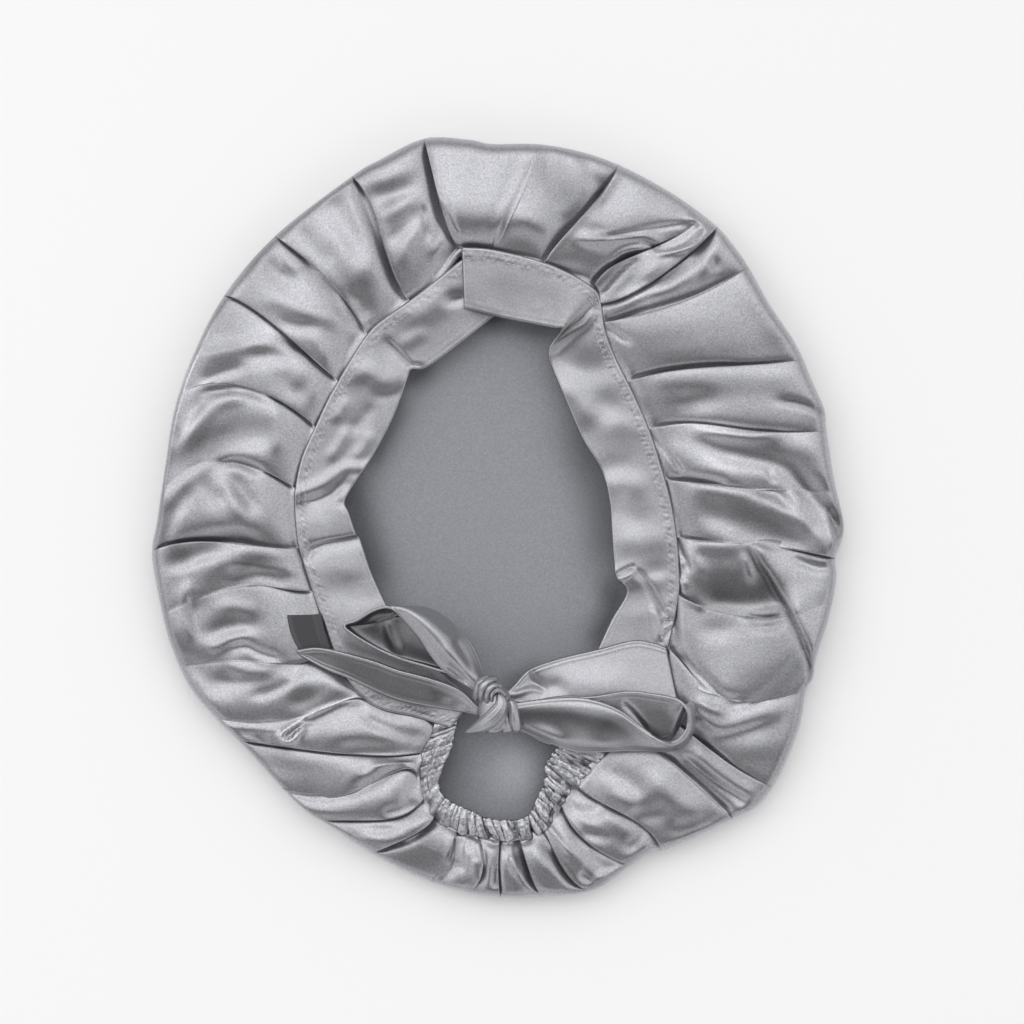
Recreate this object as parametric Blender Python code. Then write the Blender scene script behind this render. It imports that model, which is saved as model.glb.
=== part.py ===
"""A satin sleep bonnet that lies on its crown with the mouth up. Metres, +Z up, +Y towards the forehead edge."""

import math

import bpy
import numpy as np
from mathutils.bvhtree import BVHTree

# All sizes and places below are in millimetres. MM turns them into metres when a mesh is made.
MM = 0.001

# Cloth
WALL = 1.2          # crown cloth
BAND_CLOTH = 1.6    # doubled band
TIE_CLOTH = 1.2     # doubled tie
GAP = 0.35          # clearance between pieces that touch
REST_SPREAD = 1.5   # how far round a point the pieces under it are felt when one piece is laid on another
REST_SPOTS = 6      # spots felt along each side of a cell

# Crown, in section from the seam out to the rim and round to the floor
SEAM_Z = 13.0       # top of the wall where the band is sewn on
SEAM_MARGIN = 4.0   # wall cloth that runs on under the band
FLAT_END = 0.04     # share of the wall that stays level next to the seam
DROOP = 2.0         # fall of the wall from its middle to the rim
RIM_Z = 7.5         # height of the outermost line
RIM_POWER = 16      # higher rolls the rim tighter
RIM_SAG = 0.9       # outward curve of the rim between two folds
UNDER = 8.0         # width of the roll under the rim
PANEL = 1.2         # crown panel that lies on the floor
FOLD_FOOT = 1.3     # how far a fold's foot stands off its edge

# One row for each pleat or fold of the wall, clockwise from the front left.
# step: height of the cloth edge that laps over, at the seam side and at the rim side. Above 0 the next
# panel lies on top, below 0 the previous one. puff: rise of the wall's middle above the seam.
# belly: fullness of the panel up to the next fold.
FOLDS = (
    # name, seam, inner via, outer via, rim, step_in, step_out, puff, belly
    ("front_left", (-16, 125), (-23, 134), (-29, 155), (-33, 175), 3.0, 2.0, 4.0, 1.0),
    ("front_ridge", (-2, 123), (2, 135), (11, 153), (18, 173), 0.8, 0.5, 4.5, 0.8),
    ("front_right", (21, 117), (31, 130), (47, 148), (55, 163), 2.4, 1.2, 4.0, 1.0),
    ("deep_fold", (44, 106), (57, 118), (76, 126), (95, 140), -3.2, -0.8, 3.5, 0.3),
    ("looped_fold", (47, 99), (66, 106), (88, 122), (101, 134), -2.0, -1.8, 4.0, 0.8),
    ("temple_right", (49, 90), (71, 95), (94, 103), (114, 115), 2.4, 1.2, 4.0, 1.2),
    ("side_1", (59, 63), (85, 68), (113, 70), (139, 71), 2.2, 1.2, 4.5, 1.0),
    ("side_2", (68, 40), (94, 43), (117, 40), (152, 40), 2.4, 0.8, 4.5, 0.6),
    ("side_3", (77, 17), (99, 15), (126, 13), (156, 14), 2.2, -1.0, 4.0, 0.8),
    ("side_4", (83, -9), (101, -11), (126, -13), (160, -6), 2.2, -2.6, 4.5, 0.6),
    ("side_5", (83, -34), (94, -41), (122, -46), (155, -37), 2.4, 0.4, 4.0, 1.0),
    ("low_right_1", (78, -60), (90, -73), (108, -84), (142, -80), 2.4, -1.6, 4.0, 1.2),
    ("low_right_2", (66, -85), (89, -100), (106, -113), (126, -124), 1.6, 0.8, 3.0, 0.5),
    ("low_right_3", (54, -101), (73, -108), (92, -124), (109, -139), 2.2, 1.6, 2.5, 1.0),
    ("nape_right_1", (36, -124), (50, -132), (66, -141), (76, -154), -2.0, -1.4, 2.5, 0.8),
    ("nape_right_2", (30, -133), (38, -146), (50, -155), (61, -161), -2.0, -1.0, 2.0, 0.8),
    ("nape_1", (21, -144), (26, -153), (33, -165), (44, -172), -1.6, -1.2, 2.0, 0.8),
    ("nape_2", (10, -147), (13, -157), (16, -166), (20, -174), -1.6, -1.2, 2.0, 0.8),
    ("nape_3", (1, -148), (0, -157), (0, -166), (0, -174), 1.4, 1.4, 2.0, 0.6),
    ("nape_4", (-9, -146), (-7, -154), (-8, -165), (-14, -173), 1.6, 0.8, 2.0, 0.8),
    ("nape_5", (-19, -144), (-20, -152), (-22, -161), (-28, -169), 1.8, 1.0, 2.0, 0.8),
    ("low_left_1", (-29, -137), (-36, -144), (-48, -150), (-60, -154), 2.2, 1.4, 2.5, 0.8),
    ("low_left_2", (-34, -129), (-45, -137), (-60, -139), (-82, -138), 1.8, 1.0, 2.5, 0.8),
    ("low_left_3", (-36, -120), (-48, -117), (-69, -127), (-99, -126), 2.0, 0.8, 3.0, 1.0),
    ("low_left_4", (-33, -108), (-60, -109), (-92, -106), (-121, -102), 2.0, 1.4, 3.0, 1.0),
    ("low_left_5", (-58, -86), (-71, -84), (-92, -92), (-132, -92), 2.4, 0.8, 3.5, 1.2),
    ("swirl", (-77, -59), (-94, -67), (-113, -66), (-147, -68), 1.6, 0.6, 3.5, 1.0),
    ("side_6", (-87, -34), (-101, -32), (-122, -32), (-155, -44), 2.0, 0.6, 4.0, 0.8),
    ("side_7", (-92, -13), (-111, -13), (-136, -11), (-160, -16), -1.8, -1.6, 4.0, 1.2),
    ("side_8", (-93, 13), (-110, 23), (-132, 26), (-156, 13), 2.2, 0.8, 4.5, 1.2),
    ("side_9", (-83, 41), (-99, 52), (-122, 60), (-148, 57), 2.4, 1.0, 4.5, 1.0),
    ("temple_left_1", (-73, 63), (-90, 82), (-110, 95), (-126, 103), 2.2, 1.6, 4.0, 1.0),
    ("temple_left_2", (-60, 84), (-73, 104), (-89, 122), (-103, 130), 3.0, 1.8, 4.0, 1.0),
    ("temple_left_3", (-40, 100), (-50, 119), (-60, 142), (-67, 157), 3.0, 2.0, 4.0, 1.0),
)
BELLIES = (0.33, 0.67)                                      # stations between two folds
WALL_STATIONS = (0.0, 0.15, 0.34, 0.56, 0.78, 0.91, 0.97, 1.0)  # seam to rim, outer skin
LINING_STATIONS = (0.2, 0.5, 0.8, 0.93, 1.0)                # seam to rim, inner skin
UNDER_ANGLES = (45.0, 90.0)                                 # round the roll, from the rim to the floor

# Heights in the tables below are measured from the seam.

# The band: a row for each section, from the nape end to the front (left) and from the front to the nape end (right).
BAND_LEFT = (
    # seam x, y, z, free edge x, y, z
    (-22, -96, 1.6, -12, -84, 1.6),
    (-38, -91, 1.2, -25, -72, 1.4),
    (-57, -86, 1.2, -37, -61, 1.0),
    (-71, -71, 1.2, -46, -50, 0.4),
    (-80, -48, 1.2, -52, -40, 0.0),
    (-87, -27, 1.2, -59, -25, -0.4),
    (-91, -14, 1.2, -64, -10, -0.2),
    (-92, -9, 1.2, -66, -7, 1.2),
    (-93, 2, 1.2, -69, 2, 1.4),
    (-93, 12, 1.2, -71, 8, 0.6),
    (-90, 27, 1.2, -66, 17, -0.2),
    (-84, 41, 1.2, -58, 29, -0.6),
    (-78, 54, 1.2, -50, 44, -0.6),
    (-73, 63, 1.2, -45, 56, -0.4),
    (-66, 75, 1.2, -42, 65, 0.2),
    (-60, 84, 1.2, -40, 69, 0.8),
    (-54, 90, 1.2, -33, 70, -0.4),
    (-40, 100, 1.2, -19, 80, -0.6),
    (-27, 110, 1.2, -4, 92, -0.6),
    (-17, 118, 1.2, 6, 100, -0.4),
    (-9, 123, 1.2, 12, 105, -0.2),
)
BAND_RIGHT = (
    (-16, 124, 4.0, -15, 97, 2.6),
    (-3, 123, 3.8, 1, 93, 3.0),
    (18, 118, 3.6, 16, 90, 3.4),
    (33, 112, 3.2, 26, 88, 3.8),
    (44, 105, 2.6, 30, 87, 3.8),
    (47, 99, 1.2, 24, 78, 1.6),
    (49, 86, 1.2, 25, 71, 0.2),
    (54, 73, 1.2, 32, 54, -0.4),
    (61, 59, 1.2, 40, 36, -0.6),
    (69, 41, 1.2, 48, 23, -0.6),
    (74, 26, 1.2, 52, 8, -0.4),
    (79, 8, 1.2, 53, -6, 0.0),
    (82, -10, 1.2, 54, -20, 0.6),
    (83, -25, 1.2, 55, -27, 1.6),
    (83, -34, 1.2, 60, -34, 0.0),
    (81, -46, 1.2, 53, -47, -0.2),
    (78, -59, 1.2, 46, -62, -0.2),
)

# The gathered casing at the nape, from its left end round to its hidden right end.
CASING = (
    (-30, -100, 1.2, -20, -98, 2.0),
    (-34, -109, 1.2, -22, -106, 1.0),
    (-36, -120, 1.2, -27, -118, 0.4),
    (-34, -128, 1.2, -27, -125, 0.4),
    (-28, -138, 1.2, -22, -131, 0.4),
    (-16, -145, 1.2, -13, -135, 0.4),
    (-3, -148, 1.2, -4, -139, 0.4),
    (10, -148, 1.2, 11, -139, 0.4),
    (21, -144, 1.2, 17, -133, 0.4),
    (29, -132, 1.2, 22, -121, 0.4),
    (36, -123, 1.2, 24, -111, 0.6),
    (51, -106, 1.2, 38, -98, 0.8),
    (66, -87, 1.2, 54, -82, 1.0),
    (75, -72, 1.2, 62, -70, 1.0),
)
RUFFLES = 34            # puckers along the casing
RUFFLE_HEIGHT = 0.9
RUFFLE_WAVE = 0.7       # in and out along the free edge

# The bow: a row for each section of a tie, from edge a to edge b.
TIE_RIGHT = (
    # a x, y, z, b x, y, z
    (77, -60, 3.2, 82, -84, 3.2),
    (71, -58, 3.2, 73, -87, 3.4),
    (62, -57, 3.2, 64, -88, 3.6),
    (46, -61, 3.4, 47, -90, 3.8),
    (29, -65, 4.0, 31, -90, 4.0),
    (15, -70, 5.0, 17, -88, 4.6),
    (8, -77, 6.5, 9, -86, 6.0),
    (2, -82, 7.5, 3, -85, 7.0),
)
LOOP_RIGHT = (
    (3, -88, 12.0, 3, -92, 7.5),
    (20, -86, 14.0, 22, -102, 6.2),
    (34, -83, 16.0, 36, -107, 6.0),
    (45, -85, 17.0, 47, -107, 6.0),
    (56, -89, 17.0, 58, -106, 6.0),
    (66, -97, 16.0, 70, -106, 6.2),
    (74, -102, 16.0, 79, -106, 6.6),
    (81, -102, 17.0, 85, -104, 7.0),
    (86, -97, 18.0, 89, -99, 7.0),
    (87, -90, 18.0, 90, -90, 7.0),
    (85, -86, 18.0, 88, -85, 7.0),
    (81, -83, 16.5, 80, -91, 6.6),
    (70, -81, 15.0, 69, -92, 6.0),
    (59, -80, 14.0, 58, -89, 6.0),
    (43, -83, 13.0, 43, -88, 6.0),
    (29, -84, 12.0, 29, -88, 6.0),
    (17, -85, 10.5, 17, -88, 6.4),
    (5, -86, 9.0, 5, -88, 7.0),
)
LOOP_LEFT = (
    (-8, -79, 11.0, -5, -76, 7.0),
    (-16, -74, 12.0, -9, -70, 4.0),
    (-23, -69, 13.5, -11, -62, 3.0),
    (-29, -64, 15.0, -17, -53, 2.5),
    (-36, -54, 16.0, -25, -46, 2.5),
    (-43, -46, 17.0, -34, -41, 3.0),
    (-49, -41, 17.0, -46, -40, 3.6),
    (-56, -42, 16.0, -56, -44, 4.0),
    (-63, -46, 15.0, -62, -47, 4.0),
    (-70, -50, 14.0, -68, -51, 4.0),
    (-63, -55, 14.0, -63, -57, 4.2),
    (-56, -60, 14.0, -56, -62, 4.6),
    (-45, -65, 13.0, -45, -67, 5.4),
    (-31, -70, 13.0, -31, -71, 6.0),
    (-19, -76, 12.0, -19, -77, 6.6),
    (-10, -83, 11.0, -10, -83, 7.4),
)
TAIL_LEFT = (
    (-9, -87, 8.5, -9, -90, 7.0),
    (-18, -79, 8.4, -19, -88, 5.4),
    (-31, -74, 8.2, -32, -86, 4.6),
    (-46, -70, 7.6, -46, -83, 4.2),
    (-57, -66, 7.0, -56, -79, 4.2),
    (-72, -62, 6.0, -69, -73, 4.4),
    (-83, -60, 5.6, -79, -69, 4.8),
    (-92, -61, 5.4, -90, -63, 5.0),
)
TUCK_RIGHT = (
    (2, -91, 5.6, 2, -95, 5.2),
    (8, -93, 4.6, 8, -97, 4.2),
    (15, -95, 3.6, 14, -99, 3.2),
    (21, -98, 2.8, 19, -102, 2.6),
    (25, -103, 2.4, 24, -104, 2.4),
)
LABEL = (
    (-98, -45, 0.0, -83, -45, 0.0),
    (-96, -53, 0.0, -81, -53, 0.0),
    (-92, -61, 0.0, -78, -61, 0.0),
)
LABEL_CLOTH = 0.8

KNOT_CENTRE = (-1.0, -86.0, SEAM_Z + 10.0)
KNOT_RADII = (11.0, 12.0, 7.6)
KNOT_TURNS = 3          # wraps that show on the knot
KNOT_GROOVE = 0.09      # depth of the grooves between the wraps, as a share of the radius

SATIN = (0.42, 0.42, 0.44)
SATIN_SHADED = (0.36, 0.36, 0.38)
DARK = (0.09, 0.09, 0.10)


def smoothstep(low, high, value):
    """0 below low, 1 above high, and a smooth rise between them."""
    share = min(max((value - low) / (high - low), 0.0), 1.0)
    return share * share * (3.0 - 2.0 * share)


def through_four(points, t):
    """The cubic that passes the four points at t = 0, 1/3, 2/3 and 1."""
    a, b, c, d = (np.array(point, float) for point in points)
    third, two_thirds = 1.0 / 3.0, 2.0 / 3.0
    return (
        4.5 * (third - t) * (two_thirds - t) * (1.0 - t) * a
        + 13.5 * t * (two_thirds - t) * (1.0 - t) * b
        + 13.5 * t * (t - third) * (1.0 - t) * c
        + 4.5 * t * (t - third) * (t - two_thirds) * d
    )


def fold_line(fold, t):
    """Plan position of a fold, t = 0 at the seam and 1 at the rim."""
    return through_four(fold[1:5], t)


def wall_profile(puff, t):
    """Height of the plain wall at t, before folds and before the rim is rolled."""
    rise = math.sin(math.pi * min(max(t - FLAT_END, 0.0) / (1.0 - 2.0 * FLAT_END), 0.5))
    return SEAM_Z + puff * rise - DROOP * max(t - 0.5, 0.0) * 2.0


def fold_reach(t):
    """How much of a fold's step shows at t: none under the band, all of it in the middle."""
    return smoothstep(FLAT_END, 0.22, t) * (1.0 - 0.4 * smoothstep(0.75, 1.0, t))


def rolled(height, t):
    """The height brought down to the rim line in a round roll."""
    return RIM_Z + (height - RIM_Z) * math.sqrt(max(1.0 - t**RIM_POWER, 0.0))


def fold_step(fold, t):
    return (fold[5] + (fold[6] - fold[5]) * t) * fold_reach(t)


def columns_of_the_wall():
    """(fold before, fold after, place between them, which side) of each column, clockwise."""
    columns = []
    for i, fold in enumerate(FOLDS):
        after = FOLDS[(i + 1) % len(FOLDS)]
        before = FOLDS[i - 1]
        columns.append((before, fold, "arrive"))
        columns.append((fold, after, "leave"))
        columns.extend((fold, after, share) for share in BELLIES)
    return columns


def column_point(column, t):
    """Plan position and top height of one column of the wall at t."""
    first, second, share = column
    near, far = fold_line(first, t), fold_line(second, t)
    if share == "arrive":
        lower = max(fold_step(second, t), 0.0)
        place = far + (near - far) / np.linalg.norm(near - far) * FOLD_FOOT * 0.5
        return place, wall_profile(second[7], t) - 0.5 * lower + 0.5 * max(-fold_step(second, t), 0.0)
    if share == "leave":
        lower = max(-fold_step(first, t), 0.0)
        place = near + (far - near) / np.linalg.norm(far - near) * FOLD_FOOT * 0.5
        return place, wall_profile(first[7], t) - 0.5 * lower + 0.5 * max(fold_step(first, t), 0.0)
    puff = first[7] + (second[7] - first[7]) * share
    start, end = 0.5 * fold_step(first, t), -0.5 * fold_step(second, t)
    belly = first[8] * math.sin(math.pi * share) * fold_reach(t)
    place = near + (far - near) * share
    along = far - near
    outward = np.array((-along[1], along[0])) / np.linalg.norm(along)
    place = place + outward * RIM_SAG * 4.0 * share * (1.0 - share) * t * t
    return place, wall_profile(puff, t) + start + (end - start) * share + belly


def margin_point(column):
    """The edge of the wall's cloth under the band."""
    seam, _ = column_point(column, 0.0)
    near, _ = column_point(column, 0.15)
    return seam + (seam - near) / np.linalg.norm(seam - near) * SEAM_MARGIN


def crown_skins():
    """The outer and inner skins of the crown: one list of points for each column, from the seam to the panel."""
    columns = columns_of_the_wall()
    outer, inner = [], []
    for i, column in enumerate(columns):
        neighbours = (columns[i - 1], column, columns[(i + 1) % len(columns)])
        edge, rim, seam = margin_point(column), column_point(column, 1.0)[0], column_point(column, 0.0)[0]
        inward = (seam - rim) / np.linalg.norm(seam - rim)
        length = np.linalg.norm(seam - rim)
        skin = [(*edge, SEAM_Z)]
        for t in WALL_STATIONS:
            place, height = column_point(column, t)
            skin.append((*place, rolled(height, t)))
        for angle in UNDER_ANGLES:
            turn = math.radians(angle)
            place = rim + inward * UNDER * (1.0 - math.cos(turn))
            skin.append((*place, RIM_Z * (1.0 - math.sin(turn))))
        outer.append(skin)
        skin = [(*edge, SEAM_Z - WALL)]
        for t in LINING_STATIONS:
            place, _ = column_point(column, t * (1.0 - WALL / length))
            height = min(column_point(one, t)[1] for one in neighbours) - WALL
            skin.append((*place, rolled(height, t)))
        for angle in UNDER_ANGLES:
            turn = math.radians(angle)
            place = rim + inward * (WALL + (UNDER - WALL) * (1.0 - math.cos(turn)))
            skin.append((*place, PANEL + (RIM_Z - PANEL) * (1.0 - math.sin(turn))))
        inner.append(skin)
    return outer, inner


def add_object(name, points, faces, colour, roughness):
    """A named object with a material of its own, from points in millimetres."""
    mesh = bpy.data.meshes.new(name)
    mesh.from_pydata([tuple(float(v) * MM for v in point) for point in points], [], faces)
    mesh.update()
    material = bpy.data.materials.new(name + "_cloth")
    material.use_nodes = True
    shader = material.node_tree.nodes["Principled BSDF"]
    shader.inputs["Base Color"].default_value = (*colour, 1.0)
    shader.inputs["Roughness"].default_value = roughness
    shader.inputs["Metallic"].default_value = 0.0
    mesh.materials.append(material)
    mesh.shade_smooth()
    mesh.set_sharp_from_angle(angle=math.radians(50.0))
    obj = bpy.data.objects.new(name, mesh)
    bpy.context.scene.collection.objects.link(obj)
    return obj


def add_crown():
    """One closed pouch: outer skin, inner skin, joined at the cloth edge, each closed by a flat panel."""
    outer, inner = crown_skins()
    count, deep, shallow = len(outer), len(outer[0]), len(inner[0])
    points = [point for skin in outer for point in skin] + [point for skin in inner for point in skin]
    start = count * deep
    faces = []
    for i in range(count):
        j = (i + 1) % count
        for k in range(deep - 1):
            faces.append((i * deep + k, i * deep + k + 1, j * deep + k + 1, j * deep + k))
        for k in range(shallow - 1):
            near, far = start + i * shallow + k, start + j * shallow + k
            faces.append((near, far, far + 1, near + 1))
        faces.append((i * deep, j * deep, start + j * shallow, start + i * shallow))
    under, over = len(points), len(points) + 1
    points += [(0.0, 0.0, 0.0), (0.0, 0.0, PANEL)]
    for i in range(count):
        j = (i + 1) % count
        faces.append((i * deep + deep - 1, under, j * deep + deep - 1))
        faces.append((start + i * shallow + shallow - 1, start + j * shallow + shallow - 1, over))
    if signed_volume(points, faces) < 0.0:
        faces = [face[::-1] for face in faces]
    return add_object("crown", points, faces, SATIN, 0.35)


def smooth_rows(rows, steps):
    """Rows of numbers on a smooth curve through the given rows, evenly spaced by number."""
    rows = np.array(rows, float)
    padded = np.vstack([2 * rows[0] - rows[1], rows, 2 * rows[-1] - rows[-2]])
    found = []
    for i in range(len(rows) - 1):
        before, start, end, after = padded[i : i + 4]
        for step in range(steps):
            t = step / steps
            found.append(
                0.5
                * (
                    2 * start
                    + (end - before) * t
                    + (2 * before - 5 * start + 4 * end - after) * t * t
                    + (3 * start - before - 3 * end + after) * t**3
                )
            )
    found.append(rows[-1])
    return np.array(found)


def ribbon_grid(rows, steps, columns, camber=0.0):
    """A grid of points: along the rows, and across from edge a to edge b with a low arch."""
    rows = smooth_rows(rows, steps)
    shares = np.linspace(0.0, 1.0, columns)[None, :, None]
    grid = rows[:, None, :3] * (1.0 - shares) + rows[:, None, 3:] * shares
    grid[:, :, 2] += SEAM_Z
    grid[:, :, 2] += camber * np.sin(math.pi * shares[:, :, 0])
    return grid


def grid_normals(grid):
    along, across = np.gradient(grid, axis=0), np.gradient(grid, axis=1)
    normals = np.cross(along, across)
    return normals / np.linalg.norm(normals, axis=2, keepdims=True)


def signed_volume(points, faces):
    """Positive when the faces point outwards."""
    total = 0.0
    for face in faces:
        corner = np.array(points[face[0]])
        for k in range(1, len(face) - 1):
            total += np.dot(corner, np.cross(points[face[k]], points[face[k + 1]]))
    return total


def add_slab(name, grid, thickness, colour, roughness):
    """A closed sheet of the given thickness on both sides of the grid."""
    rows, columns = grid.shape[:2]
    shift = grid_normals(grid) * thickness * 0.5
    points = np.concatenate([(grid + shift).reshape(-1, 3), (grid - shift).reshape(-1, 3)])
    half = rows * columns
    faces = []
    for i in range(rows - 1):
        for k in range(columns - 1):
            a, b = i * columns + k, (i + 1) * columns + k
            faces.append((a, b, b + 1, a + 1))
            faces.append((half + a, half + a + 1, half + b + 1, half + b))
    border = [k for k in range(columns)]
    border += [i * columns + columns - 1 for i in range(1, rows)]
    border += [(rows - 1) * columns + k for k in range(columns - 2, -1, -1)]
    border += [i * columns for i in range(rows - 2, 0, -1)]
    for here, there in zip(border, border[1:] + border[:1]):
        faces.append((here, there, half + there, half + here))
    if signed_volume(points, faces) < 0.0:
        faces = [face[::-1] for face in faces]
    return add_object(name, points, faces, colour, roughness)


def casing_grid():
    """The casing's sections with puckers that deepen towards its two edges."""
    grid = ribbon_grid(CASING, 8, 4)
    for i in range(len(grid)):
        phase = 2.0 * math.pi * RUFFLES * i / (len(grid) - 1)
        uneven = 1.0 + 0.35 * math.sin(1.7 * i) * math.cos(0.61 * i)
        for k in range(4):
            share = k / 3.0
            strength = abs(2.0 * share - 1.0) if share > 0.5 else 0.0
            grid[i, k, 2] += RUFFLE_HEIGHT * uneven * math.sin(phase) * (0.35 * math.sin(math.pi * share) + strength)
        reach = grid[i, 3] - grid[i, 0]
        reach[2] = 0.0
        grid[i, 3] += reach / np.linalg.norm(reach) * RUFFLE_WAVE * uneven * math.cos(phase)
    return grid


def surface_under(objects):
    """A function that gives the height, in millimetres, of the highest of these objects below a plan position."""
    trees = []
    for obj in objects:
        points = [tuple(vertex.co / MM) for vertex in obj.data.vertices]
        trees.append(BVHTree.FromPolygons(points, [tuple(face.vertices) for face in obj.data.polygons]))

    def height(x, y):
        hits = (tree.ray_cast((x, y, 100.0), (0.0, 0.0, -1.0))[0] for tree in trees)
        return max((hit.z for hit in hits if hit), default=0.0)

    return height


def lay_on(grid, objects, thickness):
    """Lifts a grid where it would sink into what lies under it: first its points, then the cells between them."""
    height = surface_under(objects)
    clear = GAP + 0.5 * thickness
    around = (-REST_SPREAD, 0.0, REST_SPREAD)
    for point in grid.reshape(-1, 3):
        below = max(height(point[0] + dx, point[1] + dy) for dx in around for dy in around)
        point[2] = max(point[2], below + clear)
    shares = np.linspace(0.0, 1.0, REST_SPOTS)
    for i in range(len(grid) - 1):
        for k in range(len(grid[0]) - 1):
            cell = grid[i : i + 2, k : k + 2]
            for u in shares:
                for v in shares:
                    side_a = cell[0, 0] * (1.0 - u) + cell[1, 0] * u
                    side_b = cell[0, 1] * (1.0 - u) + cell[1, 1] * u
                    x, y, z = side_a * (1.0 - v) + side_b * v
                    cell[:, :, 2] += max(height(x, y) + clear - z, 0.0)
    return grid


def knot_mesh(swell):
    """Points and faces of the knot, a round lump with grooves where the tie wraps round it."""
    around, up = 20, 11
    points = []
    for k in range(1, up):
        polar = math.pi * k / up
        for i in range(around):
            turn = 2.0 * math.pi * i / around
            groove = 1.0 - KNOT_GROOVE * math.sin(polar) * (0.5 + 0.5 * math.cos(KNOT_TURNS * turn + 2.2 * polar))
            unit = np.array((math.sin(polar) * math.cos(turn), math.sin(polar) * math.sin(turn), math.cos(polar)))
            points.append(np.array(KNOT_CENTRE) + unit * (np.array(KNOT_RADII) * groove + swell))
    bottom, top = len(points), len(points) + 1
    points.append(np.array(KNOT_CENTRE) - np.array((0.0, 0.0, KNOT_RADII[2] + swell)))
    points.append(np.array(KNOT_CENTRE) + np.array((0.0, 0.0, KNOT_RADII[2] + swell)))
    faces = []
    for i in range(around):
        j = (i + 1) % around
        for k in range(up - 2):
            faces.append((k * around + i, (k + 1) * around + i, (k + 1) * around + j, k * around + j))
        faces.append((top, i, j))
        last = (up - 2) * around
        faces.append((bottom, last + j, last + i))
    return points, faces


def trim(obj, cutter):
    """Cuts a tie off where it enters the knot."""
    modifier = obj.modifiers.new("trim", "BOOLEAN")
    modifier.operation = "DIFFERENCE"
    modifier.solver = "EXACT"
    modifier.object = cutter


def main():
    for obj in list(bpy.data.objects):
        bpy.data.objects.remove(obj)

    crown = add_crown()
    band = lay_on(ribbon_grid(BAND_LEFT, 2, 4), [crown], BAND_CLOTH)
    band_left = add_slab("band_left", band, BAND_CLOTH, SATIN, 0.35)
    band = lay_on(ribbon_grid(BAND_RIGHT, 2, 4), [crown, band_left], BAND_CLOTH)
    band_right = add_slab("band_right", band, BAND_CLOTH, SATIN, 0.35)
    gathered = lay_on(casing_grid(), [crown, band_left, band_right], BAND_CLOTH)
    casing = add_slab("nape_casing", gathered, BAND_CLOTH, SATIN, 0.4)
    label = lay_on(ribbon_grid(LABEL, 2, 4), [crown, band_left], LABEL_CLOTH)
    label = add_slab("seam_label", label, LABEL_CLOTH, DARK, 0.8)
    worn = [crown, band_left, band_right, casing, label]

    points, faces = knot_mesh(0.0)
    add_object("knot", points, faces, SATIN, 0.35)
    points, faces = knot_mesh(GAP)
    cutter = add_object("knot_cutter", points, faces, SATIN, 0.35)
    cutter.hide_render = True
    cutter.display_type = "WIRE"

    laid = lay_on(ribbon_grid(TIE_RIGHT, 2, 4, 0.6), worn, TIE_CLOTH)
    tie = add_slab("tie_right", laid, TIE_CLOTH, SATIN, 0.35)
    laid = lay_on(ribbon_grid(TAIL_LEFT, 2, 4), worn, TIE_CLOTH)
    tail = add_slab("tail_left", laid, TIE_CLOTH, SATIN_SHADED, 0.35)
    loop_right = add_slab("loop_right", ribbon_grid(LOOP_RIGHT, 2, 4), TIE_CLOTH, SATIN_SHADED, 0.35)
    loop_left = add_slab("loop_left", ribbon_grid(LOOP_LEFT, 2, 4), TIE_CLOTH, SATIN_SHADED, 0.35)
    tuck = add_slab("tuck_right", ribbon_grid(TUCK_RIGHT, 2, 3), TIE_CLOTH, SATIN, 0.35)
    for obj in (tie, tail, loop_right, loop_left, tuck):
        trim(obj, cutter)


main()
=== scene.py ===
# %% [markdown]
# A satin sleep bonnet, laid on its crown with the mouth up and its ties knotted in a bow. This lesson
# dresses a plain solid model of it: every stiff solid is replaced by a fine cloth surface of the same size
# and place. Lengths in the tables are millimetres, seen from above: x to the right, y towards the forehead,
# z up.

# %% The frame
import math

import bmesh
import bpy
import numpy as np
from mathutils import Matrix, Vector


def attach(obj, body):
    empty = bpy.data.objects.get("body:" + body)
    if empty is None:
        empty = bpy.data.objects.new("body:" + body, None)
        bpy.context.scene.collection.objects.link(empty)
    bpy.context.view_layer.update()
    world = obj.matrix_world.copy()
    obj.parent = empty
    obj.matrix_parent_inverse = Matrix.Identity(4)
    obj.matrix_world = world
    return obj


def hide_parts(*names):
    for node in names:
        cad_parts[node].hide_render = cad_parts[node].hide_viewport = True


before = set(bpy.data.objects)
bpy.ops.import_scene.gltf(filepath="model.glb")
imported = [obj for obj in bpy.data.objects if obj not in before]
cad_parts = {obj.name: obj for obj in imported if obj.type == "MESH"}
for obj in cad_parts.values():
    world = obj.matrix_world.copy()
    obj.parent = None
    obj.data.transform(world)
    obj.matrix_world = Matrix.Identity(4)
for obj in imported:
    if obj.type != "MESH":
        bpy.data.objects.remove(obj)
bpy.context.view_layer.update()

MM = 0.001
TAU = 2.0 * math.pi
print("solids:", sorted(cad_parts))

# %% [markdown]
# Everything soft here is a grid of points that follows curves. The grid could come from a subdivided box
# and a sculpting brush, but curves through a few measured points keep the outline exact and easy to change.
# These helpers make a smooth curve, walk along it by length, and give soft random unevenness.

# %% Curves and soft steps


def smoothstep(low, high, value):
    share = np.clip((value - low) / (high - low), 0.0, 1.0)
    return share * share * (3.0 - 2.0 * share)


def blend_four(a, b, c, d, t):
    """From b at t = 0 to c at t = 1, in a smooth run from a and on to d."""
    return 0.5 * (2 * b + (c - a) * t + (2 * a - 5 * b + 4 * c - d) * t**2 + (3 * b - a - 3 * c + d) * t**3)


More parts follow.
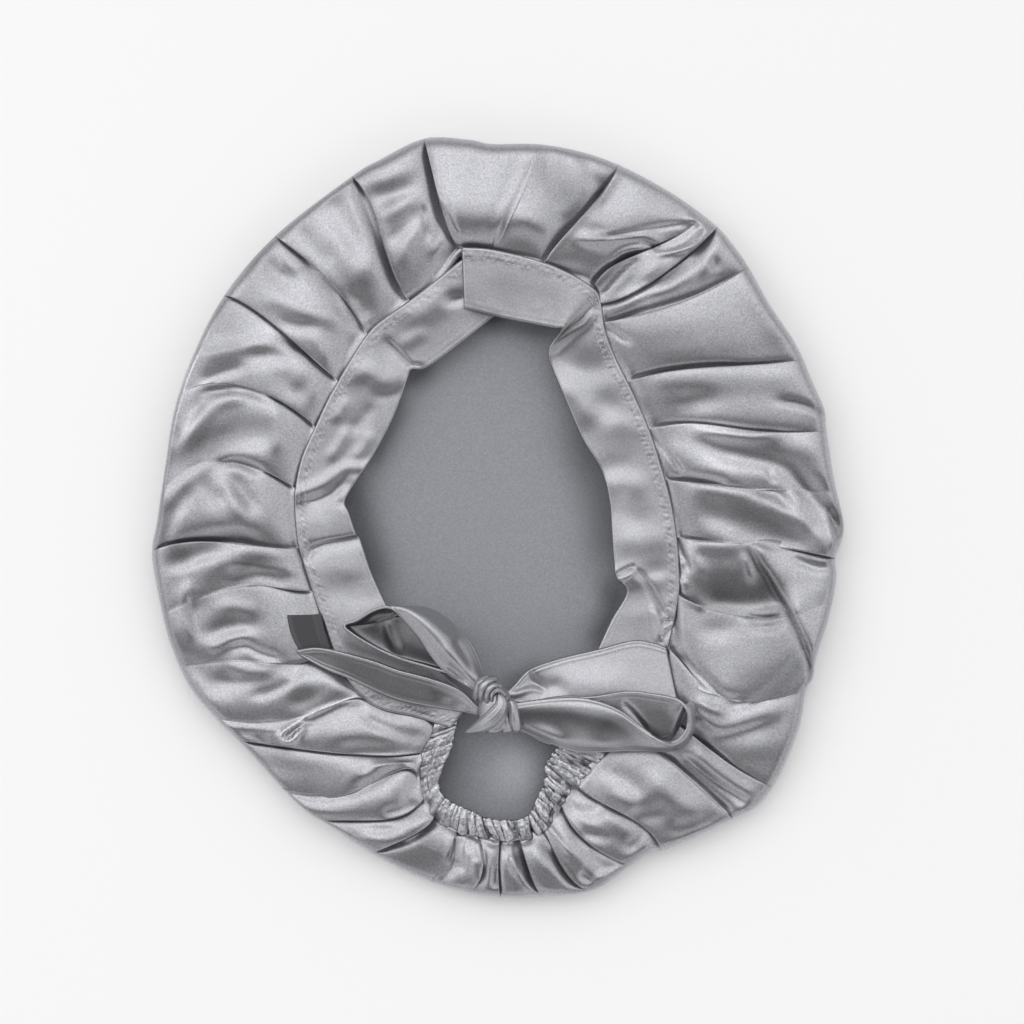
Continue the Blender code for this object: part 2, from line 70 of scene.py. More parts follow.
def smooth_curve(points, closed=False, per_span=10):
    """A smooth curve through the points, as many close points."""
    points = np.array(points, float)
    if closed:
        padded = np.vstack([points[-1:], points, points[:2]])
    else:
        padded = np.vstack([2 * points[0] - points[1], points, 2 * points[-1] - points[-2]])
    t = np.linspace(0.0, 1.0, per_span, endpoint=False)[:, None]
    spans = [blend_four(*padded[k:k + 4], t) for k in range(len(padded) - 3)]
    return np.vstack(spans + [points[:1] if closed else points[-1:]])


def lengths_along(curve):
    steps = np.linalg.norm(np.diff(curve, axis=0), axis=1)
    return np.concatenate([[0.0], np.cumsum(steps)])


def walk(curve, where, closed=False):
    """Points on the curve at these lengths from its start."""
    run = lengths_along(curve)
    where = np.mod(where, run[-1]) if closed else np.clip(where, 0.0, run[-1])
    return np.stack([np.interp(where, run, curve[:, k]) for k in range(curve.shape[1])], axis=-1)


def nearest_length(curve, point):
    return lengths_along(curve)[np.argmin(np.linalg.norm(curve - np.array(point, float), axis=1))]


def uneven(x, y, seed, cell_x, cell_y):
    """Smooth random heights from -1 to 1 over a grid of cells, the same on every run."""
    table = np.random.default_rng(seed).uniform(-1.0, 1.0, (64, 64))
    gx, gy = x / cell_x, y / cell_y
    ix, iy = np.floor(gx).astype(int), np.floor(gy).astype(int)
    fx, fy = smoothstep(0.0, 1.0, gx - ix), smoothstep(0.0, 1.0, gy - iy)
    low = table[ix % 64, iy % 64] * (1 - fx) + table[(ix + 1) % 64, iy % 64] * fx
    high = table[ix % 64, (iy + 1) % 64] * (1 - fx) + table[(ix + 1) % 64, (iy + 1) % 64] * fx
    return low * (1 - fy) + high * fy


print("half way up a soft step:", smoothstep(0.0, 1.0, 0.5))

# %% [markdown]
# The wall of the bonnet runs from the band's seam out to the rim, where it rolls under into the crown
# panel. Two closed curves hold it: the outline of the rim and the seam. A traced drawing could be imported
# instead, but two short lists of points show how the shape is built and can be moved one by one.

# %% The outline and the seam
OUTLINE = (
    (-34, 175.5), (-13.5, 175), (-3, 173), (17.5, 173), (36, 170), (55.5, 163.5), (80, 150.5), (100, 136),
    (109, 126), (116, 116), (125.5, 99), (138, 80), (145.5, 63), (151, 50), (152, 40), (155.5, 17.5),
    (160, -4.5), (156, -18.5), (156.5, -28), (153, -46), (147.5, -63), (145.5, -74), (142.5, -79.5),
    (139.5, -96), (131, -117.5), (120.5, -132.5), (108.5, -139), (92, -147), (76.5, -153.5), (71, -154),
    (60, -161.5), (44, -172), (20.5, -175), (-1.5, -175), (-28.5, -169), (-56.5, -156), (-78, -142),
    (-92, -132.5), (-116, -107), (-129.5, -93.5), (-142.5, -78), (-151.5, -58), (-157, -35.5), (-160, -16),
    (-157.5, -1), (-154, 22), (-149.5, 50), (-141, 75), (-126.5, 103), (-103, 130.5), (-67.5, 158),
    (-55, 165.5),
)
SEAM = (
    (-16.5, 125), (-2, 123), (18, 118), (33, 112), (44, 105), (45, 97), (49, 85.5), (60, 63), (69, 41),
    (76.5, 18), (81.5, -2.5), (83, -14), (83, -28), (82, -44), (77.5, -59), (66, -85), (54, -101),
    (36, -123), (29, -132), (21, -144), (10, -148), (-3, -148), (-16, -145), (-28, -138), (-34, -128),
    (-36, -120), (-34, -109), (-31, -98), (-38, -91), (-57, -86), (-61, -83), (-71, -70.5), (-80, -48),
    (-84, -36.5), (-89.5, -20), (-93, -7.5), (-94, 5), (-93, 14.5), (-89.5, 28), (-84, 41.5), (-76.5, 55),
    (-73.5, 63), (-60, 84), (-55, 88.5), (-40.5, 100), (-27, 111),
)
seam_curve = smooth_curve(SEAM, closed=True)
outline_curve = smooth_curve(OUTLINE, closed=True)
print("seam mm:", round(lengths_along(seam_curve)[-1]), "rim mm:", round(lengths_along(outline_curve)[-1]))

# %% [markdown]
# Between the seam and the rim lie the pleats. Each is a line where one panel of cloth laps over the next.
# Even pleats could be made by a loop, but on a real bonnet no two are alike, so each has its own line in
# plan, its own lap at both ends, and the puff and belly of the panel that starts there.

# %% The pleats
FOLDS = (
    # name, seam, inner via, outer via, rim, lap at the seam side, lap at the rim side, puff, belly
    ("front_left", (-16, 125), (-23, 134), (-29, 155), (-33, 175), 3.0, 2.0, 4.0, 1.0),
    ("front_ridge", (-2, 123), (2, 135), (11, 153), (18, 173), 0.8, 0.5, 4.5, 0.8),
    ("front_right", (21, 117), (31, 130), (47, 148), (55, 163), 2.4, 1.2, 4.0, 1.0),
    ("deep_fold", (44, 106), (57, 118), (76, 126), (95, 140), 2.6, 0.3, 3.5, 0.3),
    ("looped_fold", (47, 99), (66, 106), (88, 122), (101, 134), -2.0, -1.8, 4.0, 0.8),
    ("temple_right", (49, 90), (71, 95), (94, 103), (114, 115), 2.4, 1.2, 4.0, 1.2),
    ("side_1", (59, 63), (85, 68), (113, 70), (139, 71), 2.2, 1.2, 4.5, 1.0),
    ("side_2", (68, 40), (94, 43), (117, 40), (152, 40), 2.4, 0.8, 4.5, 0.6),
    ("side_3", (77, 17), (99, 15), (126, 13), (156, 14), 2.2, -1.0, 4.0, 0.8),
    ("side_4", (83, -9), (101, -11), (126, -13), (158, -19), 2.2, -2.6, 4.5, 0.6),
    ("side_5", (83, -34), (94, -41), (122, -46), (155, -37), 2.4, -0.5, 4.0, 1.0),
    ("low_right_1", (78, -60), (90, -73), (108, -84), (142, -80), 2.4, -1.6, 4.0, 1.2),
    ("low_right_2", (66, -85), (89, -100), (106, -113), (126, -124), 1.6, 0.8, 3.0, 0.5),
    ("low_right_3", (54, -101), (73, -108), (92, -124), (109, -139), 2.2, 1.6, 2.5, 1.0),
    ("nape_right_1", (36, -124), (50, -132), (66, -141), (76, -154), -2.0, -1.4, 2.5, 0.8),
    ("nape_right_2", (30, -133), (38, -146), (50, -155), (61, -161), -2.0, -1.0, 2.0, 0.8),
    ("nape_1", (21, -144), (26, -153), (33, -165), (44, -172), -1.6, -1.2, 2.0, 0.8),
    ("nape_2", (10, -147), (13, -157), (16, -166), (20, -174), -1.6, -1.2, 2.0, 0.8),
    ("nape_3", (1, -148), (0, -157), (0, -166), (0, -174), 1.4, 1.4, 2.0, 0.6),
    ("nape_4", (-9, -146), (-7, -154), (-8, -165), (-14, -173), 1.6, 0.8, 2.0, 0.8),
    ("nape_5", (-19, -144), (-20, -152), (-22, -161), (-28, -169), 1.8, 1.0, 2.0, 0.8),
    ("low_left_1", (-29, -137), (-36, -144), (-48, -150), (-60, -154), 2.2, 1.4, 2.5, 0.8),
    ("low_left_2", (-34, -129), (-45, -137), (-60, -139), (-82, -138), 1.8, 1.0, 2.5, 0.8),
    ("low_left_3", (-36, -120), (-48, -117), (-69, -127), (-99, -126), 2.0, 0.8, 3.0, 1.0),
    ("low_left_4", (-33, -108), (-60, -109), (-92, -106), (-121, -102), 2.0, 1.4, 3.0, 1.0),
    ("low_left_5", (-58, -86), (-71, -84), (-92, -92), (-132, -92), 2.4, -1.8, 3.5, 1.2),
    ("swirl", (-77, -59), (-94, -67), (-113, -66), (-147, -68), 1.6, -1.3, 3.5, 1.0),
    ("side_6", (-87, -34), (-101, -32), (-122, -32), (-155, -44), 2.0, -1.3, 4.0, 0.8),
    ("side_7", (-92, -13), (-111, -13), (-136, -11), (-159, -16), -1.8, -1.6, 4.0, 1.2),
    ("side_8", (-93, 13), (-110, 23), (-132, 26), (-156, 13), 2.2, -1.4, 4.5, 1.2),
    ("side_9", (-83, 41), (-99, 53.5), (-122, 61.5), (-148, 57), 2.4, -0.25, 4.5, 1.0),
    ("temple_left_1", (-73, 63), (-90, 78), (-109, 94), (-126, 103), 2.2, 1.6, 4.0, 1.0),
    ("temple_left_2", (-60, 84), (-73, 104), (-88, 119), (-103, 130), 3.0, 1.8, 4.0, 1.0),
    ("temple_left_3", (-40, 100), (-50, 119), (-56.5, 140), (-67, 157), 3.0, 2.0, 4.0, 1.0),
)
FOLD_NAMES = [fold[0] for fold in FOLDS]
count = len(FOLDS)
print("pleats:", count)

# %% [markdown]
# Creases, soft ridges and hollows between the pleats are brush strokes: a line seen from above, a height,
# and how far the cloth takes to come back to level on the left and on the right of the line. Unlike a
# sculpting brush they can be read and changed. Its reach is one number, or a pair where the two sides
# differ; so is its taper, the share of its length over which each end fades. Each stroke is kept to the
# panels that it crosses. At the front the cloth is pulled tight between wide pleats, and one fold loops.

# %% Strokes at the front
FRONT_STROKES = {
    # panels: height, reach (or left, right), taper (or start, end), points x, y
    "front_left": (
        (2.78, (18.4, 11.5), 0, -29, 145, -17.5, 140.5, -8.5, 139, 3.5, 138),
        (0.99, (1.68, 1.26), 0.2, -25.5, 149, -23, 141, -20, 133.5, -16.5, 127.5),
    ),
    "front_left front_ridge": (
        (0.82, (5.75, 3.45), 0.1, 17.5, 171, 14, 162, 9.5, 150, 4.5, 141, 0, 131.5, -3, 123.5),
    ),
    "front_ridge": (
        (1.02, (5.75, 4.6), 0.2, 6.5, 137.5, 15, 136, 22, 131.5),
        (-0.75, (4.6, 3.45), 0.2, 1, 127.5, 10, 127.5, 22, 123),
        (-1.6, 6.9, (0.05, 0.1), 23.5, 167.5, 25.5, 155, 29, 143, 31.5, 130),
        (-0.75, 3.45, 0.2, 39, 168, 42, 160, 44.5, 152.5),
        (-1.29, (2.3, 4.6), (0.15, 0.1), 51.5, 156.5, 46.5, 148, 42, 142, 34.5, 134.5, 27, 126.5, 22, 119),
    ),
    "front_right": (
        (1.05, 2.1, (0.1, 0.4), 56.5, 161, 52, 154.5, 47.5, 147, 43, 141.5),
        (1.25, (13.8, 4.6), (0.15, 0.1), 43.5, 136.5, 56.5, 136, 70.5, 137.5, 86.5, 138.5),
        (-0.99, (5.17, 4.6), 0.3, 68.5, 148.5, 79, 145, 89.5, 140.5),
        (-0.93, (3.45, 5.75), (0.2, 0.3), 39, 122, 49.5, 121, 58.5, 123),
        (1.18, (1.47, 1.89), 0.2, 68, 124, 62.5, 123.5, 56.5, 121.5, 52, 117),
        (-1.39, (1.84, 4.6), (0.15, 0.05), 66.5, 121.5, 59.5, 119, 53.5, 114.5, 49, 109.5, 45.5, 105.5),
    ),
    "front_right deep_fold": (
        (-1.04, 1.16, (0.2, 0.15), 47.5, 129, 57.5, 130.5, 68.5, 132.5, 79, 134.5, 88, 135.5),
        (1.21, (1.58, 1.68), (0.1, 0.3), 86.5, 138, 91.5, 137, 95, 133.5, 94.5, 129, 90.5, 125, 83.5, 123,
         75.5, 121.5, 67, 120.5),
        (1.29, (3.45, 2.07), 0.15, 34.5, 128.5, 43, 127.5, 50, 128, 59, 129, 67, 129.5, 71, 128, 74, 125.5),
        (-0.99, 1.05, 0.2, 66, 127, 70.5, 125.5, 74.5, 123.5),
    ),
    "deep_fold": (
        (-1.08, 1.16, (0.15, 0.1), 66, 119, 60, 114.5, 54, 108.5, 48.5, 102.5),
        (0.82, 3.45, 0.2, 74.5, 121, 70, 114, 64.5, 107),
        (0.85, (3.45, 4.6), 0.2, 73, 106, 64, 103, 56, 98.5),
        (-0.78, 3.45, 0.2, 70, 109.5, 62.5, 107.5, 55, 101.5),
    ),
    "looped_fold": (
        (-1.39, (3.68, 1.84), (0.1, 0.25), 97, 132, 94, 126, 89, 120, 83, 115, 75.5, 109.5, 70.5, 107),
        (0.82, 3.45, 0.2, 100.5, 126, 96.5, 119, 95.5, 112.5),
        (-1.02, 2.1, 0.3, 100, 119, 100.5, 114.5),
        (-1.34, (1.61, 4.83), 0.2, 108.5, 112, 99.5, 107, 91.5, 103, 81, 99.5, 70, 96.5, 56, 92.5),
        (0.99, 4.6, 0.2, 89.5, 113, 80, 106, 68.5, 101.5),
    ),
}
print("strokes:", sum(len(rows) for rows in FRONT_STROKES.values()))

# %% [markdown]
# The right side has the widest panels. Their folds run from the seam out to the rim, and one sharp fold
# crosses two panels on its way down.

# %% Strokes on the right
RIGHT_STROKES = {
    "temple_right": (
        (-1.02, 1.68, (0.2, 0.3), 49.5, 88, 55, 84.5, 61.5, 80),
        (1.01, 6.9, 0.1, 118, 108.5, 124.5, 97.5, 130, 86.5),
        (-0.89, (2.1, 1.05), (0.1, 0.3), 61.5, 63.5, 75.5, 66.5, 94, 69.5, 115, 70.5),
    ),
    "side_1": (
        (0.86, (4.6, 6.9), 0.1, 70.5, 63, 94, 66, 117, 66, 136, 65),
        (-1.14, 5.75, (0.4, 0.3), 79, 54, 88.5, 53, 99.5, 55),
        (0.9, (8.05, 5.75), (0.3, 0.1), 75.5, 43.5, 94, 45.5, 117, 45.5, 140.5, 43),
        (-1.24, (2.73, 1.26), (0.35, 0), 125.5, 53.5, 133.5, 53, 142, 51, 151.5, 47.5),
    ),
    "side_2": (
        (1.3, (1.72, 3.68), 0.2, 89.5, 41, 103, 39, 117, 38, 131, 39),
        (-1.21, (1.47, 1.68), (0.1, 0.2), 71.5, 38, 76.5, 32, 81, 26, 84.5, 20.5),
        (-1.17, (3.15, 1.26), 0.2, 82.5, 17.5, 94, 16.5, 105.5, 15.5),
        (-0.95, (1.05, 1.26), 0.2, 124, 23, 127.5, 16.5),
        (1.6, (8.05, 6.9), 0.2, 77, 32.5, 84.5, 25, 96.5, 20.5, 112.5, 17.5),
    ),
    "side_2 side_3": (
        (-2.3, (6.6, 4.2), (0.2, 0.04), 94, 33, 105.5, 29, 117, 27, 128, 24.5, 135.5, 19, 142, 11.5, 148,
         4.5, 154.5, -1.5, 159.5, -6),
        (1.31, (6.9, 8.05), (0.1, 0), 140.5, 36.5, 149, 22.5, 156, 6),
    ),
    "side_3": (
        (1.23, (2.3, 5.75), 0.1, 89.5, 14.5, 103, 12.5, 117, 10, 131, 3.5, 143, -3),
        (-1.8, (8.05, 5.75), (0.25, 0.15), 91, 5.5, 101.5, 0, 115, -5.5, 129, -9, 143, -12),
        (-1.3, 2.1, (0.25, 0.2), 118, 12, 125.5, 12, 130.5, 10, 133, 5),
        (-0.9, 2.76, 0.3, 139.5, 7, 145, -1, 149, -7.5),
        (1.13, 1.26, (0.15, 0.05), 150, 3.5, 152.5, -2.5, 154, -9.5, 155.5, -17.5),
    ),
    "side_3 side_2": (
        (1.15, 4.6, (0.2, 0.1), 134, 16, 139.5, 7, 145.5, -4, 151.5, -16),
        (-1.44, (1.89, 2.52), 0.15, 153.5, 3, 156, -3.5, 157, -12.5, 157, -19.5),
    ),
    "side_4": (
        (1.27, (1.38, 4.6), 0.1, 89.5, -11.5, 103, -12, 117, -12.5, 124, -15),
        (-3.9, (12, 4.2), (0.25, 0.12), 93, -36, 104, -39, 117, -40, 132, -38),
        (1.21, (1.78, 1.99), (0.3, 0.2), 113, -16.5, 115, -22.5, 117, -29),
        (-0.72, 3.45, 0.3, 112, -12.5, 113, -14),
        (-1.21, (1.47, 1.68), (0.05, 0.3), 83, -11.5, 85.5, -18.5, 88.5, -25),
        (0.9, 3.45, 0.2, 87.5, -16, 91.5, -20.5, 94, -26),
        (1.15, 1.68, 0.2, 82.5, -19, 85.5, -21.5),
        (1.18, 1.89, 0.2, 82.5, -28.5, 86, -30.5),
    ),
    "side_4 side_5": (
        (2.6, (9, 1.3), 0.1, 118, -13, 123.5, -23, 129.5, -34, 136, -43.5, 141.5, -55, 145.5, -66, 146, -74),
    ),
    "side_4 side_3": ((-1.2, 2.1, 0.1, 136, -18.5, 146, -22.5, 153.5, -22.5, 156.5, -17.5),),
    "side_5 side_4": (
        (-1.19, (1.89, 1.26), (0.3, 0.15), 110, -44.5, 119.5, -46, 125.5, -46, 130.5, -44.5),
        (-1.2, (1.2, 2.2), 0.1, 122, -22.5, 128.5, -34, 134.5, -44, 140, -55.5, 144, -65.5, 144.5, -73),
    ),
    "side_5": (
        (-1.08, (2.52, 2.1), 0.2, 117, -49.5, 125.5, -50, 131, -47.5),
        (1.6, (18.4, 5.75), 0.1, 89.5, -81, 108, -81, 124, -72, 136, -56.5),
        (-0.69, 4.6, 0.3, 94, -51, 101, -52, 108, -50.5),
        (-1, (2.62, 1.05), (0.1, 0.2), 83, -62.5, 89.5, -69.5, 96, -75.5, 101.5, -81, 108, -83.5, 114, -81.5),
        (1.11, 2.1, (0.2, 0.1), 85, -34.5, 89.5, -38, 94, -40.5),
    ),
}
print("strokes:", sum(len(rows) for rows in RIGHT_STROKES.values()))

# %% [markdown]
# Round the nape the elastic draws the cloth together. The panels are narrow there, so their creases are
# short and follow the pleats.

# %% Strokes round the nape
NAPE_STROKES = {
    "low_right_1": (
        (1.17, (1.89, 1.68), 0.2, 92.5, -84.5, 98, -87.5, 104, -89),
        (-1.11, (2.52, 2.1), 0.2, 105, -87, 115, -85.5, 125.5, -80),
        (1.04, (5.75, 2.76), (0.15, 0.25), 91, -87.5, 96, -93, 102.5, -96, 113.5, -94, 124.5, -90, 134,
         -86.5),
        (-1.04, (2.76, 5.75), (0.1, 0.3), 95, -97.5, 102.5, -100.5, 113.5, -98.5, 125.5, -94),
        (-1.14, 3.45, (0.1, 0.2), 91.5, -95, 95, -102.5, 99.5, -109, 106, -113.5),
    ),
    "low_right_2": (
        (-1.37, (1.89, 2.31), 0.1, 85.5, -110, 92.5, -116, 101.5, -123, 109.5, -128, 114, -131.5),
        (1.1, (3.45, 2.3), (0.15, 0.1), 89.5, -107, 99.5, -115.5, 110, -123, 118, -127.5),
        (-1.24, (2.94, 1.26), (0.15, 0.1), 76.5, -109.5, 84.5, -116, 94, -123.5, 100.5, -129.5, 106.5, -136),
    ),
    "low_right_3": (
        (-0.95, (5.75, 4.02), 0.2, 47.5, -116, 57.5, -120, 67, -126.5),
        (0.96, 4.6, 0.2, 47.5, -126.5, 57.5, -130, 64, -134),
        (-0.99, (5.75, 4.6), 0.2, 61.5, -136.5, 70.5, -136.5, 79, -134),
        (1.14, (5.75, 6.9), 0.2, 70.5, -119.5, 81, -129, 94, -136.5),
        (-0.8, (4.6, 3.45), 0.2, 79, -144, 89.5, -141.5, 99.5, -137.5),
    ),
    "nape_right_1": (
        (-0.92, (3.91, 2.76), 0.2, 34.5, -134, 42, -136, 49, -133.5),
        (-0.7, (2.99, 2.53), 0.3, 38, -145.5, 44.5, -146, 51, -148),
        (-0.85, 3.45, 0.2, 67, -144, 64, -149, 58.5, -152.5),
        (0.72, 3.45, 0.2, 47.5, -136.5, 56.5, -141.5, 62.5, -146),
        (-1.23, 2.31, (0.2, 0), 70.5, -149, 74, -152, 76.5, -155),
    ),
    "nape_right_2": (
        (-0.95, 3.45, 0.2, 43, -154.5, 48, -160, 55, -162),
        (1.05, 2.1, 0.2, 44.5, -166.5, 53, -164, 60, -161),
        (-1.2, 2.1, 0.2, 38, -164, 43, -167.5),
        (0.8, 2.76, 0.2, 31, -146, 36, -154.5, 40, -160),
    ),
    "nape_1": (
        (-1.18, (1.26, 2.94), (0.1, 0.2), 20.5, -148, 26.5, -156, 33, -165, 39, -170),
        (0.66, 3.45, 0.2, 16, -152, 22, -160, 29, -168.5),
    ),
    "nape_2": (
        (-1.33, (1.38, 3.91), (0.1, 0.15), 9.5, -149, 12.5, -157.5, 16, -165.5, 18.5, -171),
        (1.17, 1.68, 0.1, 6, -155.5, 9, -163, 13, -169, 16.5, -172),
    ),
    "nape_3": (
        (-1.2, (1.26, 1.89), 0.1, 2, -149, 0.5, -156.5, -1, -164.5, -1, -170),
        (1.21, (1.89, 1.68), 0.2, 3.5, -152, 2.5, -160, 3, -167.5),
    ),
    "nape_4": (
        (1, (3.45, 2.76), 0.2, -13, -152.5, -10, -160, -8, -168.5),
        (-1.2, (1.26, 1.47), (0.1, 0.2), -9, -147, -6.5, -153.5, -4, -160),
        (-0.98, (1.05, 1.26), (0.1, 0.2), -12, -149, -11, -153.5, -10.5, -157.5),
        (-1.23, (1.47, 2.52), (0.1, 0.2), -16, -148, -17, -155.5, -16.5, -163),
    ),
    "nape_5": (
        (-1.25, (1.47, 1.89), (0.1, 0.3), -18.5, -146, -20.5, -153.5, -22.5, -161),
        (-2.06, (16.1, 6.9), 0, -56, -159, -41, -166.5, -27, -171, -13, -173),
        (-1.22, (2.1, 1.26), 0.1, -29, -140, -34, -144.5, -40.5, -148.5, -47.5, -150.5, -56, -152),
    ),
    "low_left_1": (
        (0.75, 2.99, 0.2, -43, -146, -52.5, -148, -63, -146),
        (-0.78, 3.45, 0.3, -62, -143, -54, -143.5, -44.5, -142.5),
    ),
    "low_left_2": (
        (1.5, (8.05, 6.9), (0.2, 0.1), -45.5, -125.5, -59.5, -129.5, -78, -131.5, -92, -129.5),
        (-1.16, (2.3, 3.22), 0.2, -36.5, -131.5, -45.5, -134, -53, -136),
        (-0.87, 2.99, 0.2, -38, -121, -40, -125.5, -43, -129.5),
    ),
    "low_left_3": (
        (-1.4, (1.84, 4.6), 0.15, -42, -114.5, -48.5, -117.5, -55, -122, -62.5, -126.5),
        (0.96, 3.45, 0.2, -44.5, -111, -56, -114.5, -64, -118, -69, -123.5),
        (-1.15, 2.31, 0.3, -58, -113.5, -63, -116),
        (-1.39, (14.95, 4.6), 0.1, -115.5, -108, -102.5, -120, -90, -129),
    ),
}
print("strokes:", sum(len(rows) for rows in NAPE_STROKES.values()))

# %% [markdown]
# The left side is all round puffs with hollows between them, like ripples, and has a small swirl low down.
# The strokes with an empty name are pressed into every panel that they touch.

# %% Strokes low on the left
LEFT_STROKES = {
    "low_left_4": (
        (-1.2, (1.47, 2.52), (0.1, 0.2), -34.5, -101, -43.5, -100, -53, -96.5, -62.5, -92),
        (-1.36, (1.84, 5.75), (0.1, 0.2), -34, -108, -48, -108, -62, -108, -76, -107.5),
        (1.07, 5.75, 0.2, -45.5, -102.5, -62, -100, -78, -102.5),
        (-1.02, (3.57, 1.05), (0.1, 0.2), -61.5, -86, -71, -86.5, -82, -91.5, -89.5, -95.5),
        (-1.27, (4.6, 2.3), 0.2, -120, -98.5, -112.5, -100, -106, -103),
    ),
    "low_left_4 low_left_5": ((-0.96, 1.05, 0.2, -90.5, -95, -95, -98, -98, -102),),
    "low_left_5": (
        (-0.99, (3.45, 5.75), 0.3, -82, -80, -88.5, -83.5, -96, -86),
        (-1.12, (2.3, 3.45), (0.2, 0.3), -90, -70, -96.5, -76, -106, -80.5, -115.5, -82.5),
        (1.02, 4.6, 0.2, -71, -80, -76, -73.5, -83, -70),
        (-0.78, 3.45, 0.3, -102.5, -96, -109.5, -97.5),
        (-0.88, (3.45, 4.6), (0.1, 0.3), -92, -68.5, -99, -71, -109.5, -74.5, -122.5, -75.5, -133, -73.5),
    ),
    "swirl": (
        (-1.11, (5.29, 3.45), (0.2, 0.3), -134, -55, -128.5, -51.5, -120, -49.5, -107, -49.5),
        (1.07, (2.76, 2.53), 0.2, -134, -57, -130.5, -59.5, -123.5, -56, -113, -53.5),
        (-1.14, 2.1, 0.2, -123.5, -60.5, -116, -59, -109.5, -62, -99, -65),
        (0.78, 3.45, 0.2, -128.5, -41.5, -121, -40.5, -112.5, -43),
    ),
    "swirl side_6": (
        (-0.96, (3.45, 3.91), 0.3, -139.5, -36.5, -140, -45.5, -138.5, -56.5),
        (1.14, 5.75, 0.3, -148, -31, -148, -43, -145, -56.5),
    ),
    "swirl low_left_5": (
        (0.78, 3.45, 0.2, -126.5, -64, -122, -68, -114.5, -70.5, -103.5, -70.5),
        (-1.31, 5.75, (0.1, 0.2), -145, -66, -138.5, -71.5, -132, -76.5, -120, -76.5),
    ),
    "side_6": (
        (1.19, (4.6, 5.06), 0.2, -125.5, -22.5, -120, -16.5, -111.5, -14.5, -101.5, -16, -94, -19.5),
        (-1.14, (5.29, 3.45), 0.2, -123.5, -32.5, -117, -28, -110.5, -26, -103, -27.5, -96, -30.5),
        (-1.1, (5.75, 2.76), (0.2, 0.35), -150.5, -22.5, -144, -21, -136, -17, -127, -14.5),
    ),
    "side_6 swirl": ((1.1, 5.75, 0.2, -131.5, -22.5, -136, -29, -140.5, -37),),
    "side_7": (
        (1.51, (11.5, 5.75), (0.15, 0.2), -149.5, -5.5, -138.5, -3.5, -127, -2, -117.5, -2, -109.5, -5.5),
        (-1.45, (5.17, 1.84), (0.05, 0.3), -156, -20.5, -148, -16, -136, -12.5, -123.5, -10, -112.5, -11.5,
         -102.5, -13),
        (-1.13, 3.91, (0.2, 0.3), -122, 19.5, -117, 11, -110.5, 2),
        (0.9, 3.68, 0.2, -128.5, 17.5, -123.5, 10, -118, 1),
        (-0.99, 4.6, 0.2, -136, 17.5, -132.5, 12, -128.5, 7.5),
        (-1.03, (3.45, 6.9), 0.1, -140.5, 12, -148, 3.5, -152.5, -5.5, -155, -16),
    ),
    "": (
        (1.21, 1.26, (0.05, 0.1), -91, -94, -97, -97.5, -100, -101.5, -97, -104, -92.5, -100.5, -88, -94),
        (-1.13, 1.26, (0.1, 0.3), -96.5, -101, -91.5, -96, -84.5, -91),
        (1.29, 1.89, 0.2, -143, -28, -144, -38, -143, -48.5, -140, -57.5),
        (-1.21, 1.68, 0.2, -23.5, -140.5, -20, -143, -16, -144.5),
        (-1.25, 1.68, 0.2, -15, -144, -12.5, -146.5, -10, -148),
        (-1.25, 1.68, 0.2, -5.5, -149, -2.5, -150.5, 1.5, -149.5),
        (-1.25, 1.68, 0.2, 7.5, -149, 11, -149.5, 15, -148),
        (1.2, 1.47, (0.1, 0.3), -8.5, -149, -7.5, -155.5, -6.5, -163),
        (1.2, 1.47, (0.1, 0.3), 5.5, -150.5, 6.5, -157, 8, -164.5),
        (1.2, 1.47, (0.1, 0.3), -19.5, -146, -21.5, -152.5, -24, -160),
        (1.23, 1.47, (0.1, 0.3), 23, -141.5, 29, -149, 34.5, -156),
        (0.8, 1.2, (0.05, 0.1), -62.5, -82.5, -73.5, -85.5, -85, -90, -93.5, -95, -99.5, -99.5, -99, -102.5,
         -95.5, -102.5, -92, -99, -89.5, -95),
    ),
}
print("strokes:", sum(len(rows) for rows in LEFT_STROKES.values()))

# %% [markdown]
# Towards the temple the pleats are deep again, and a crease runs along the edge of each of them.

